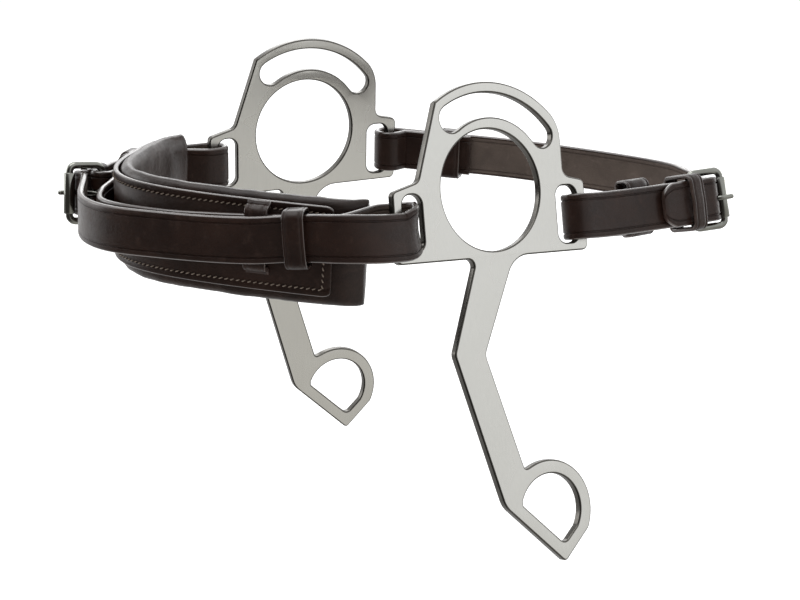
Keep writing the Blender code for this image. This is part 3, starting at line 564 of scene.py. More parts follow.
def lace(work: BMesh, rows: list[list[BMVert]], wrap: bool = False,
         marks: dict[int, int] | None = None) -> None:
    """Makes the faces between rings of vertices.

    Args:
        work: The mesh work.
        rows: The vertices of each ring, in order round it.
        wrap: Whether the last ring joins the first; otherwise both ends are capped.
        marks: The material's number of each span of a ring that isn't the first material.
    """
    count = len(rows[0])
    for row, following in zip(rows, rows[1:] + (rows[:1] if wrap else [])):
        for i in range(count):
            j = (i + 1) % count
            face = work.faces.new((row[i], row[j], following[j], following[i]))
            face.material_index = marks.get(i, 0) if marks else 0
    if not wrap:
        for end in (list(reversed(rows[0])), rows[-1]):
            work.faces.new(end).material_index = 1 if marks else 0


def skin(name: str, rings: list[list[Vector]], wrap: bool = False,
         marks: dict[int, int] | None = None) -> Object:
    """A closed skin through rings of points.

    Args:
        name: The object's name.
        rings: The points of each ring, in order round it.
        wrap: Whether the last ring joins the first; otherwise both ends are capped.
        marks: The material's number of each span of a ring that isn't the first material.

    Returns:
        The new object, smooth shaded.
    """
    work = bmesh.new()
    lace(work, [[work.verts.new(point) for point in ring] for ring in rings], wrap, marks)
    bmesh.ops.recalc_face_normals(work, faces=work.faces)
    return finished(name, work)


def finished(name: str, work: BMesh) -> Object:
    """Turns mesh work into a smooth object in the scene.

    Args:
        name: The object's name.
        work: The mesh work, which is freed.

    Returns:
        The new object.
    """
    mesh = bpy.data.meshes.new(name)
    work.to_mesh(mesh)
    work.free()
    mesh.shade_smooth()
    made = bpy.data.objects.new(name, mesh)
    bpy.context.scene.collection.objects.link(made)
    return made


def baked(piece: Object) -> None:
    """Applies a piece's modifiers to its mesh.

    Args:
        piece: The object.
    """
    view = bpy.context.evaluated_depsgraph_get()
    mesh = bpy.data.meshes.new_from_object(piece.evaluated_get(view))
    if not mesh.polygons:
        raise RuntimeError("nothing is left of %s" % piece.name)
    piece.modifiers.clear()
    piece.data = mesh


@dataclass(frozen=True)
class Section:
    """The section of a flat leather band, with rounded edges and a crease beside each."""

    width: float
    thickness: float
    edge_round: float
    crease_inset: float = 0.0
    crease_depth: float = 0.00042
    crease_width: float = 0.0010
    # The floor of a crease as a share of its width, and where the face has one more row of points
    crease_floor: float = 0.4
    face_row: float = 0.45

    def face(self) -> list[tuple[float, float]]:
        """One face from its lower edge to its upper, as (across, how far it is sunk).

        Returns:
            The points, which are sunk only in the two creases.
        """
        flat = self.width / 2 - self.edge_round
        half = [(flat, 0.0), (flat * 0.5, 0.0)]
        if self.crease_inset:
            middle = self.width / 2 - self.crease_inset
            rim = self.crease_width / 2
            floor = rim * self.crease_floor
            half = [
                (flat, 0.0), (middle + rim, 0.0), (middle + floor, self.crease_depth),
                (middle - floor, self.crease_depth), (middle - rim, 0.0), (middle * self.face_row, 0.0),
            ]
        lower = [(-across, sunk) for across, sunk in half]
        return lower + [(0.0, 0.0)] + list(reversed(half))

    def ring(self, frame: Matrix, narrow: float = 1.0, thin: float = 1.0) -> list[Vector]:
        """The section's points in a frame.

        Args:
            frame: X along the band, Y out of its face and Z across it.
            narrow: The share of its width kept there.
            thin: The share of its thickness kept there.

        Returns:
            The points in order.
        """
        high, half, r = self.thickness / 2, self.width / 2, self.edge_round
        turn = [(math.sin(math.radians(a)), math.cos(math.radians(a))) for a in (30.0, 60.0, 90.0)]
        edge = [(high - r + r * c, half - r + r * s) for s, c in turn]
        points = [(high - sunk, across) for across, sunk in self.face()]
        points += edge + [(-y, z) for y, z in reversed(edge)]
        points += [(-high + sunk, -across) for across, sunk in self.face()]
        points += [(-y, -z) for y, z in edge] + [(y, -z) for y, z in reversed(edge)]
        return [frame @ Vector((0.0, y * thin, z * narrow)) for y, z in points]

    def marks(self, flesh: bool = False) -> dict[int, int]:
        """Material numbers of the ring's spans: 1 for cut edge, 2 for the flesh side where it shows.

        Args:
            flesh: Whether the flesh side shows.

        Returns:
            Each marked span with its number.
        """
        face = len(self.face())
        found = {span: 2 for span in range(face - 1)} if flesh else {}
        # Each edge has six points, with five spans between them
        for span in range(face, face + 5):
            found[span] = found[span + face + 6] = 1
        return found


STRAP = Section(width=0.0205, thickness=0.0030, edge_round=0.0013, crease_inset=0.0029)


@dataclass
class Band:
    """A flat leather band laid along a route."""

    name: str
    route: Route
    section: Section
    pointed: bool = False
    point: float = 0.006
    point_width: float = 0.010

    def narrowing(self, distance: float) -> float:
        """The share of its width that a pointed band keeps, that far from its tip.

        Args:
            distance: How far from the tip.

        Returns:
            The share of the width.
        """
        if not self.pointed:
            return 1.0
        tip = self.point_width / self.section.width
        return tip + (1.0 - tip) * math.sqrt(min(1.0, distance / self.point))

    def build(self, face: Material, edge: Material,
              flesh: Material | None = None) -> Object:
        """Sweeps the section along the route.

        Args:
            face: The leather of its faces.
            edge: The leather of its cut edges.
            flesh: The leather's flesh side, on the route's left face, where it can be seen.

        Returns:
            The band.
        """
        frames, walked = self.route.frames, self.route.walked
        rings = []
        for i, (frame, distance) in enumerate(zip(frames, walked)):
            ended = not self.route.closed and i in (0, len(frames) - 1)
            rings.append(self.section.ring(frame, self.narrowing(distance), CUT_END if ended else 1.0))
        band = skin(self.name, rings, self.route.closed, self.section.marks(flesh is not None))
        for leather in (face, edge, flesh):
            if leather:
                band.data.materials.append(leather)
        return band


class Punch:
    """Tools that cut openings through a band: oval punches and one slot."""

    # Where the walls meet the faces, edges sharper than this stay sharp
    sharp = math.radians(50.0)
    # The step round an oval's ends, in degrees
    step = 15.0

    def __init__(self, edge: Material) -> None:
        """Starts with no tool; the openings' walls take the edge's leather."""
        self.edge = edge
        self.tools: list[BMesh] = []

    def prism(self, frame: Matrix, outline: list[tuple[float, float]], low: float, high: float) -> None:
        """Adds a straight tool.

        Args:
            frame: X along the band, Y out of its face and Z across it.
            outline: Its outline along and across the band.
            low: Where it starts along Y.
            high: Where it ends along Y.
        """
        work = bmesh.new()
        lace(work, [[work.verts.new(frame @ Vector((x, y, z))) for x, z in outline] for y in (low, high)])
        bmesh.ops.recalc_face_normals(work, faces=work.faces)
        self.tools.append(work)

    def oval(self, frame: Matrix, length: float, width: float, reach: float) -> None:
        """Adds an oval punch with half round ends.

        Args:
            frame: X along the band, Y out of its face and Z across it.
            length: Its length.
            width: Its width.
            reach: How far it reaches each way along Y.
        """
        straight, radius = (length - width) / 2, width / 2
        ends = arc((straight, 0.0), radius, -90.0, 90.0, self.step)
        ends += arc((-straight, 0.0), radius, 90.0, 270.0, self.step)
        self.prism(frame, [(x, z) for x, z, _ in ends], -reach, reach)

    def cut(self, band: Object) -> None:
        """Cuts the band by each tool in turn.

        Args:
            band: The band to cut.
        """
        for work in self.tools:
            tool = finished(band.name + "_tool", work)
            tool.data.materials.append(self.edge)
            boolean = band.modifiers.new("opening", "BOOLEAN")
            boolean.operation = "DIFFERENCE"
            boolean.solver = "EXACT"
            boolean.material_mode = "TRANSFER"
            boolean.object = tool
            baked(band)
            bpy.data.objects.remove(tool, do_unlink=True)
        band.data.set_sharp_from_angle(angle=self.sharp)


@dataclass(frozen=True)
class Seam:
    """Saddle stitching: slanted stitches of waxed thread, each sunk at its ends."""

    pitch: float = 0.0026
    length: float = 0.0019
    radius: float = 0.00034
    slant: float = math.radians(24.0)
    sides: int = 6
    # A stitch as (along it in half lengths, share of its full radius, standing out in radii)
    shape: tuple[Triple, ...] = (
        (-1.0, 0.30, -0.9), (-0.8, 0.85, -0.25), (-0.35, 1.0, 0.30), (0.35, 1.0, 0.30),
        (0.8, 0.85, -0.25), (1.0, 0.30, -0.9),
    )

    def build(self, name: str, spots: list[Matrix], thread: Material) -> Object:
        """Makes the stitches as one mesh.

        Args:
            name: The object's name.
            spots: A frame for each stitch: X along the seam and Y out of the leather.
            thread: The thread's material.

        Returns:
            The stitches.
        """
        work = bmesh.new()
        around = [math.radians(360.0 / self.sides * k) for k in range(self.sides)]
        for spot in spots:
            turned = spot @ Matrix.Rotation(self.slant, 4, "Y")
            rings = []
            for share, full, lift in self.shape:
                centre = Vector((share * self.length / 2, lift * self.radius, 0.0))
                r = self.radius * full
                circle = [Vector((0.0, r * math.cos(a), r * math.sin(a))) for a in around]
                rings.append([work.verts.new(turned @ (centre + point)) for point in circle])
            lace(work, rings)
        bmesh.ops.recalc_face_normals(work, faces=work.faces)
        made = finished(name, work)
        made.data.materials.append(thread)
        return made

    def along(self, route: Route, start: float, end: float, across: float, out: float) -> list[Matrix]:
        """Frames for a row of stitches beside a route.

        Args:
            route: The band's route.
            start: Where the row starts along it.
            end: Where it ends.
            across: How far across the band the row lies.
            out: How far out of the band's middle, negative for its other face.

        Returns:
            A frame for each stitch.
        """
        count = max(1, int((end - start) / self.pitch))
        flip = Matrix.Rotation(0.0 if out >= 0 else math.pi, 4, "X")
        rows = []
        for i in range(count):
            frame = route.frame_at(start + self.pitch * (i + 0.5))
            rows.append(frame @ Matrix.Translation((0.0, out, across)) @ flip)
        return rows


def settle(piece: Object, body: Body, slot: Slot, *nodes: str) -> None:
    """Lets a piece ride on its body in place of its CAD nodes, and reports it.

    Args:
        piece: The finished piece.
        body: The body that carries it.
        slot: The record's material slot; not used.
        *nodes: The CAD nodes that it stands for.
    """
    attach(piece, body.value)
    if nodes:
        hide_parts(*nodes)
    LOG.info("%s: %d faces on %s", piece.name, len(piece.data.polygons), body.value)


# Cheeks


@dataclass
class Cheeks:
    """The two lever cheeks, cut from one pattern in steel plate."""

    thickness: float = 0.0038
    edge_round: float = 0.0007
    hole_radius: float = 0.0265
    spread: float = 0.170
    back: float = 0.1232
    rise: float = 0.0167
    side_shift: float = -0.0023
    toe: float = math.radians(3.8)
    near_lean: float = math.radians(14.0)
    far_lean: float = math.radians(3.2)
    near_pitch: float = math.radians(4.0)
    far_pitch: float = math.radians(-0.6)
    front_slot: Triple = (-0.047, -0.037, 0.0242)
    rear_slot: Triple = (0.0355, 0.047, 0.0255)
    slot_corner: float = 0.0044
    bar_width: float = 0.005
    # The plate's outer edge as arcs and as corners: (along the plate, up it, radius)
    crown: Arc = ((0.0011, -0.0015), 0.0485, 124.3, 45.7, 2.0)
    shoulder: Arc = ((0.0225, 0.0204), 0.0180, 40.0, 0.0, 4.0)
    rear_edge: tuple[Triple, ...] = (
        (0.0405, 0.0046, 0.004), (0.0520, 0.0022, 0.003), (0.0515, -0.0293, 0.003),
        (0.0098, -0.0293, 0.012), (-0.0098, -0.0708, 0.006), (0.0065, -0.1229, 0.0015),
    )
    ring_rim: Arc = ((0.0186, -0.1431), 0.0230, 114.0, -26.0, 3.0)
    front_edge: tuple[Triple, ...] = (
        (0.0250, -0.1665, 0.002), (-0.0057, -0.1379, 0.012), (-0.0261, -0.0695, 0.005),
        (-0.0108, -0.0293, 0.003), (-0.0520, -0.0293, 0.003), (-0.0516, 0.0014, 0.0025),
        (-0.0380, 0.0052, 0.004),
    )
    # The arch slot's outer side, rear end, inner side and front end
    arch: tuple[Arc, ...] = (
        ((0.0005, -0.0017), 0.0440, 119.5, 39.7, 2.5), ((0.0301, 0.0229), 0.00565, 20.0, -126.0, 8.0),
        ((0.0018, 0.0022), 0.0294, 36.2, 124.4, 3.0), ((-0.0182, 0.0314), 0.0060, 284.0, 140.0, 8.0),
    )
    ring_hole: Arc = ((0.0191, -0.1426), 0.0163, 158.0, -33.0, 4.0)
    ring_corners: tuple[Triple, ...] = ((0.0253, -0.1583, 0.003), (0.0040, -0.1385, 0.001))
    # Degrees round the large hole, the distance within which points join, and how straight out of the
    # plate the normal of a ground face points
    hole_step: float = 3.0
    weld: float = 0.00001
    flat_normal: float = 0.99

    def outline(self) -> list[Vector]:
        """The plate's outer edge, clockwise from the front corner of its arch.

        Returns:
            Points as (along the plate, up it).
        """
        corners = arc(*self.crown) + arc(*self.shoulder) + list(self.rear_edge)
        corners += arc(*self.ring_rim) + list(self.front_edge)
        return round_corners(corners, steps=8)

    def slot(self, sizes: Triple) -> list[Vector]:
        """A strap slot from its left side, right side and height.

        Args:
            sizes: The left side, the right side and the height.

        Returns:
            The slot's outline.
        """
        left, right, height = sizes
        corners = [(left, 0.0), (right, 0.0), (right, -height), (left, -height)]
        return round_corners([(x, z, self.slot_corner) for x, z in corners], steps=8)

    def openings(self) -> list[list[Vector]]:
        """The large hole, the arch slot, the rein ring's opening and the two strap slots.

        Returns:
            The outline of each.
        """
        circle = arc((0.0, 0.0), self.hole_radius, 0.0, 360.0 - self.hole_step, self.hole_step)
        arch = [corner for bend in self.arch for corner in arc(*bend)]
        flat = [[Vector((x, z)) for x, z, _ in line] for line in (circle, arch)]
        ring = round_corners(arc(*self.ring_hole) + list(self.ring_corners), steps=6)
        return flat + [ring, self.slot(self.front_slot), self.slot(self.rear_slot)]

    def matrix(self, side: Side) -> Matrix:
        """Where a cheek stands.

        Args:
            side: Which cheek.

        Returns:
            X along the plate, Y out of its face to the far side and Z up it.
        """
        lean = -self.near_lean if side is Side.NEAR else self.far_lean
        pitch = self.near_pitch if side is Side.NEAR else self.far_pitch
        place = Vector((self.back, self.side_shift + side.value * self.spread / 2, self.rise))
        turn = Matrix.Rotation(-side.value * self.toe, 4, "Z") @ Matrix.Rotation(lean, 4, "X")
        return Matrix.Translation(place) @ turn @ Matrix.Rotation(pitch, 4, "Y")

    def bar(self, reach: Reach) -> float:
        """Where the outer bar of a strap slot lies along the plate.

        Args:
            reach: Which slot.

        Returns:
            The middle of the bar.
        """
        if reach is Reach.NOSE:
            return self.front_slot[0] - self.bar_width / 2
        return self.rear_slot[1] + self.bar_width / 2

    def build(self, name: str, side: Side, finishes: Finishes) -> Object:
        """Cuts a plate and eases its edges.

        Args:
            name: The cheek's name.
            side: Which cheek.
            finishes: The materials.

        Returns:
            The cheek.
        """
        curve = bpy.data.curves.new(name, "CURVE")
        curve.dimensions = "2D"
        curve.fill_mode = "BOTH"
        curve.extrude = self.thickness / 2 - self.edge_round
        curve.bevel_depth = self.edge_round
        curve.bevel_resolution = 2
        curve.offset = -self.edge_round
        for line in [self.outline()] + self.openings():
            spline = curve.splines.new("POLY")
            spline.points.add(len(line) - 1)
            for point, (x, z) in zip(spline.points, line):
                point.co = (x, z, 0.0, 1.0)
            spline.use_cyclic_u = True
        drawn = bpy.data.objects.new(name + "_drawing", curve)
        bpy.context.scene.collection.objects.link(drawn)
        mesh = bpy.data.meshes.new_from_object(drawn.evaluated_get(bpy.context.evaluated_depsgraph_get()))
        bpy.data.objects.remove(drawn, do_unlink=True)
        work = bmesh.new()
        work.from_mesh(mesh)
        bmesh.ops.remove_doubles(work, verts=work.verts, dist=self.weld)
        for face in work.faces:
            face.material_index = 0 if abs(face.normal.z) > self.flat_normal else 1
        work.transform(self.matrix(side) @ Matrix.Rotation(QUARTER_TURN, 4, "X"))
        cheek = finished(name, work)
        cheek.data.materials.append(finishes.plate)
        cheek.data.materials.append(finishes.plate_edge)
        # Wide faces keep flat normals, so the satin reflects as one plane
        weigh = cheek.modifiers.new("flat_faces", "WEIGHTED_NORMAL")
        weigh.keep_sharp = False
        baked(cheek)
        return cheek


# Straps


@dataclass
class Rigging:
    """How the straps lie in the cheeks' slots."""

    cheeks: Cheeks
    strap: Section = STRAP
    fold_clearance: float = 0.0018
    rest: float = 0.0010
    fold_steps: int = 16
    # The nose strap sags outside the near cheek, and its fold there is pulled open
    near_sag: float = 0.0049
    near_pull: float = 0.0020
    # The power of the cosine by which the sag fades round the fold
    sag_fading: float = 1.4

    def radius(self) -> float:
        """The strap's middle line round a bar."""
        corner = math.hypot(self.cheeks.bar_width / 2, self.cheeks.thickness / 2)
        return corner + self.fold_clearance + self.strap.thickness / 2

    def level(self, reach: Reach) -> float:
        """Height of the strap's middle line on the plate: it rests low in its slot."""
        slot = self.cheeks.front_slot if reach is Reach.NOSE else self.cheeks.rear_slot
        return -slot[2] + self.rest + self.strap.width / 2

    def beside(self, side: Side, reach: Reach, distance: float, outward: float) -> Station:
        """A station a distance past a slot's bar, outward of the plate's middle.

        Args:
            side: Which cheek.
            reach: Which slot.
            distance: How far past the bar.
            outward: How far outward.

        Returns:
            The station.
        """
        matrix = self.cheeks.matrix(side)
        x = self.cheeks.bar(reach) + reach.value * distance
        place = matrix @ Vector((x, side.value * outward, self.level(reach)))
        return Station(place, (matrix.to_3x3() @ UP).normalized())

    def fold(self, side: Side, reach: Reach) -> list[Station]:
        """Stations round a bar, from the outside of the plate to its inside.

        Args:
            side: Which cheek.
            reach: Which slot.

        Returns:
            The stations in order.
        """
        loose = side is Side.NEAR and reach is Reach.NOSE
        sag, pull = (self.near_sag, self.near_pull) if loose else (0.0, 0.0)
        stations = []
        for i in range(self.fold_steps + 1):
            angle = math.pi * i / self.fold_steps
            distance = -self.radius() * math.sin(angle) - pull * math.sin(angle) ** 2
            spot = self.beside(side, reach, distance, self.radius() * math.cos(angle))
            drop = sag * max(0.0, math.cos(angle)) ** self.sag_fading
            stations.append(Station(spot.place - UP * drop, spot.up))
        return stations


@dataclass
class Nosepiece:
    """The padded nosepiece: a cushion bent round the nose, its stitched facing and two loops."""

    near_end: float = -0.110
    far_end: float = 0.104
    bend_radius: float = 0.0362
    splay: float = 1.13
    height: float = 0.047
    thickness: float = 0.0084
    pitch: float = math.radians(3.6)
    yaw: float = math.radians(2.1)
    roll: float = math.radians(1.0)
    flare: float = math.radians(-2.3)
    curl: float = 0.0050
    curl_length: float = 0.020
    # The steps in which its bend is walked and its slope is measured
    walk_step: float = 0.0005
    slope_step: float = 0.0001
    # Rings of the cushion: close together inside each end, then evenly spread from an inset
    end_rings: tuple[float, ...] = (0.0, 0.0004, 0.0010, 0.0018, 0.0028, 0.0040, 0.0052)
    ring_inset: float = 0.0068
    ring_count: int = 104
    # Each end closes in a quarter round, and its outside rolls down over a longer stretch
    end_round: float = 0.0030
    end_thickness: float = 0.52
    end_height: float = 0.975
    end_roll: float = 0.0115
    roll_thickness: float = 0.36
    # Stitches pull the leather in beside the seam, in soft puckers a stitch or two wide
    seam_height: float = 0.78
    pucker_length: float = 0.0058
    pucker_depth: float = 0.00012
    pucker_slant: float = 3.0
    # The leather is pushed along its section's normal, leant this much at the borders
    push_lean: float = 0.4
    # Beyond this share of its half thickness the facing holds it nearly flat
    held_from: float = 0.75
    held_share: float = 0.25
    # Large and small waves of the leather over the felt, as (waves in a metre, height)
    wave: tuple[float, float] = (95.0, 0.00038)
    ripple: tuple[float, float] = (260.0, 0.00014)
    # The upper half of its section, from the middle of its inside over the border to the facing, as
    # (out, up) in shares of half its thickness and half its height
    section: tuple[tuple[float, float], ...] = (
        (-1.00, 0.00), (-1.00, 0.16), (-0.985, 0.32), (-0.955, 0.48), (-0.90, 0.63), (-0.79, 0.77),
        (-0.60, 0.885), (-0.33, 0.965), (0.0, 1.0), (0.33, 0.985), (0.62, 0.945), (0.80, 0.885),
        (0.86, 0.82), (0.90, 0.74), (0.97, 0.62), (1.0, 0.45), (1.0, 0.22),
    )
    facing: Section = Section(
        width=0.0395, thickness=0.0022, edge_round=0.0008, crease_inset=0.0032,
        crease_depth=0.00035, crease_width=0.0014)
    facing_length: float = 0.195
    facing_rise: float = 0.0015
    # Its corners are rounded: it narrows by a share of its width towards each end
    facing_corner: float = 0.004
    facing_narrowing: float = 0.10
    facing_steps: int = 130
    facing_end_rings: tuple[float, ...] = (0.0, 0.0003, 0.0008)
    facing_seam: float = 0.0032
    facing_end_seam: float = 0.0034
    stitch_lift: float = 0.00002
    loop: Section = Section(
        width=0.010, thickness=0.0020, edge_round=0.0005, crease_inset=0.0019,
        crease_depth=0.00018, crease_width=0.0007)
    loop_station: float = 0.066
    loop_foot: float = 0.0038
    loop_slack: float = 0.0014
    loop_bends: tuple[float, float] = (0.0012, 0.0024)
    loop_step: float = 0.0012
    near_loop_rise: float = 0.0054
    far_loop_rise: float = 0.0045
    strap: Section = STRAP

    def bow(self, y: float) -> float:
        """How far back the middle surface lies, that far to the side."""
        radius = self.bend_radius * self.splay ** 2
        return math.sqrt(radius ** 2 + (self.splay * y) ** 2) - radius

    def station(self, distance: float, outward: float = 0.0, rise: float = 0.0) -> Matrix:
        """A frame on the nosepiece.

        Args:
            distance: Along it from its middle, near side negative.
            outward: Out of its middle surface.
            rise: Up its height.

        Returns:
            X along the nosepiece, Y outward and Z up it.
        """
        y, walked = 0.0, 0.0
        small = math.copysign(self.walk_step, distance)
        while walked < abs(distance):
            piece = math.hypot(small, self.bow(y + small) - self.bow(y))
            share = min(1.0, (abs(distance) - walked) / piece)
            y += small * share
            walked += piece
        slope = (self.bow(y + self.slope_step) - self.bow(y - self.slope_step)) / (self.slope_step * 2)
        along = Vector((slope, 1.0, 0.0)).normalized()
        local = Matrix((along, Vector((-along.y, along.x, 0.0)), UP)).transposed().to_4x4()
        local.translation = Vector((self.bow(y), y, 0.0))
        turn = Matrix.Rotation(self.yaw, 4, "Z") @ Matrix.Rotation(self.pitch, 4, "Y")
        turn = turn @ Matrix.Rotation(self.roll, 4, "X") @ Matrix.Translation((-self.thickness / 2, 0.0, 0.0))
        return turn @ local @ Matrix.Rotation(self.flare, 4, "X") @ Matrix.Translation((0.0, outward, rise))

    def on(self, distance: float, outward: float, rise: float) -> Station:
        """A strap's station on the nosepiece."""
        frame = self.station(distance, outward, rise)
        return Station(frame.translation.copy(), (frame.to_3x3() @ UP).normalized())

    def strap_seat(self) -> float:
        """From the middle surface to the middle line of a strap that lies on the facing."""
        return self.thickness / 2 + SEAT_GAP + self.facing.thickness + PLY_GAP + self.strap.thickness / 2

    def cushion_ring(self, distance: float) -> list[Vector]:
        """The cushion's section there: crowned inside, flat under the facing, with rolled borders.

        Args:
            distance: Where along the nosepiece.

        Returns:
            The ring's points.
        """
        past = max(0.0, self.near_end + self.curl_length - distance,
                   distance - self.far_end + self.curl_length)
        frame = self.station(distance, -self.curl * (past / self.curl_length) ** 2)
        end = min(distance - self.near_end, self.far_end - distance)
        close = quarter_round(end, self.end_round)
        full = self.end_thickness + (1.0 - self.end_thickness) * close
        tall = self.end_height + (1.0 - self.end_height) * close
        rolled = self.roll_thickness + (1.0 - self.roll_thickness) * quarter_round(end, self.end_roll)
        outline = list(self.section) + [(1.0, 0.0)]
        outline += [(out, -up) for out, up in reversed(self.section[1:])]
        deep, high = self.thickness / 2, self.height / 2
        ring = []
        for out, up in outline:
            kept = min(full, rolled if out > 0.0 else 1.0)
            point = frame @ Vector((0.0, out * deep * kept, up * high * tall))
            border = max(0.0, 1.0 - abs(abs(up) - self.seam_height) / (1.0 - self.seam_height))
            swing = math.sin(distance / self.pucker_length * math.tau + up * self.pucker_slant)
            waves = [noise.noise(point * often) * height for often, height in (self.wave, self.ripple)]
            free = 1.0 if out < self.held_from else self.held_share
            push = (swing * self.pucker_depth * border + sum(waves)) * free
            normal = (frame.to_3x3() @ Vector((0.0, out, up * self.push_lean))).normalized()
            ring.append(point + normal * push)
        return ring

    def build_cushion(self, finishes: Finishes) -> Object:
        """Lofts the cushion of leather over felt.

        Args:
            finishes: The materials.

        Returns:
            The cushion.
        """
        span = self.far_end - self.near_end
        places = [self.near_end + end for end in self.end_rings]
        inset, count = self.ring_inset, self.ring_count
        places += [self.near_end + inset + (span - inset * 2) * i / count for i in range(count + 1)]
        places += [self.far_end - end for end in reversed(self.end_rings)]
        cushion = skin("nosepiece_cushion", [self.cushion_ring(place) for place in places])
        cushion.data.materials.append(finishes.pad)
        return cushion

    def facing_route(self) -> Route:
        """The facing's middle line, against the cushion's outer side.

        Returns:
            The route, with more stations at its ends.
        """
        middle = self.thickness / 2 + SEAT_GAP + self.facing.thickness / 2
        half, steps = self.facing_length / 2, self.facing_steps
        places = [self.facing_length * (i / steps - 0.5) for i in range(1, steps)]
        for inset in self.facing_end_rings:
            places += [-half + inset, half - inset]
        return Route([self.on(place, middle, self.facing_rise) for place in sorted(places)])

    def build_facing(self, finishes: Finishes) -> Object:
        """Lays the flat facing on the cushion.

        Args:
            finishes: The materials.

        Returns:
            The facing.
        """
        route = self.facing_route()
        frames, walked = route.frames, route.walked
        rings = []
        for frame, distance in zip(frames, walked):
            end = min(distance, walked[-1] - distance)
            corner = 1.0 - self.facing_narrowing * (1.0 - quarter_round(end, self.facing_corner))
            rings.append(self.facing.ring(frame, corner, CUT_END if end < 1e-6 else 1.0))
        made = skin("nosepiece_facing", rings, marks=self.facing.marks())
        made.data.materials.append(finishes.facing)
        made.data.materials.append(finishes.strap_edge)
        return made

    def facing_stitches(self, seam: Seam, thread: Material) -> Object:
        """Sews the facing to the cushion, all round its border.

        Args:
            seam: The kind of stitch.
            thread: The thread's material.

        Returns:
            The stitches.
        """
        route = self.facing_route()
        length = route.walked[-1]
        out = -self.facing.thickness / 2 if self.faces_in(route) else self.facing.thickness / 2
        inset = self.facing_seam
        across = self.facing.width / 2 - inset
        raised = out + math.copysign(self.stitch_lift, out)
        spots = []
        for row in (-across, across):
            spots += seam.along(route, inset, length - inset, row, raised)
        count = int(across * 2 / seam.pitch)
        flip = Matrix.Rotation(0.0 if out >= 0 else math.pi, 4, "X")
        upright = Matrix.Rotation(QUARTER_TURN, 4, "Y")
        for end in (self.facing_end_seam, length - self.facing_end_seam):
            frame = route.frame_at(end)
            for i in range(count):
                place = Matrix.Translation((0.0, out, -across + seam.pitch * (i + 0.5)))
                spots.append(frame @ place @ flip @ upright)
        return seam.build("nosepiece_facing_stitches", spots, thread)

    def faces_in(self, route: Route) -> bool:
        """Whether the left face of a route along the nosepiece is its inner face.

        Args:
            route: The route.

        Returns:
            True where it does.
        """
        frame = route.frame_at(route.walked[-1] / 2)
        outward = self.station(0.0).to_3x3().col[1]
        return frame.to_3x3().col[1].dot(outward) < 0.0

    def build_loop(self, name: str, side: Side, finishes: Finishes) -> Object:
        """Bends a fixed loop over the strap's inner layer, with a foot above and below.

        Args:
            name: The object's name.
            side: Which cheek.
            finishes: The materials.

        Returns:
            The loop.
        """
        wall = self.loop.thickness
        seat = self.thickness / 2 + SEAT_GAP + self.facing.thickness + SEAT_GAP + wall / 2
        raised = seat + self.strap.thickness + PLY_GAP * 2 + self.loop_slack * 0.5
        half = self.strap.width / 2 + wall / 2 + PLY_GAP * 2 + self.loop_slack
        foot = self.loop_foot - self.loop_slack
        rise = self.near_loop_rise if side is Side.NEAR else self.far_loop_rise
        frame = self.station(side.value * self.loop_station, 0.0, rise)
        inward, over = self.loop_bends
        corners = [
            (seat, -half - foot, 0.0), (seat, -half - foot * 0.5, 0.0),
            (seat, -half, inward), (raised, -half, over), (raised, half, over), (seat, half, inward),
            (seat, half + foot * 0.5, 0.0), (seat, half + foot, 0.0),
        ]
        up = (frame.to_3x3() @ Vector((1.0, 0.0, 0.0))).normalized()
        path = [frame @ Vector((0.0, y, z)) for y, z in round_corners(corners, steps=6, closed=False)]
        loop = Band(name, Route([Station(place, up) for place in path]).smoothed(self.loop_step), self.loop)
        return loop.build(finishes.strap, finishes.strap_edge)


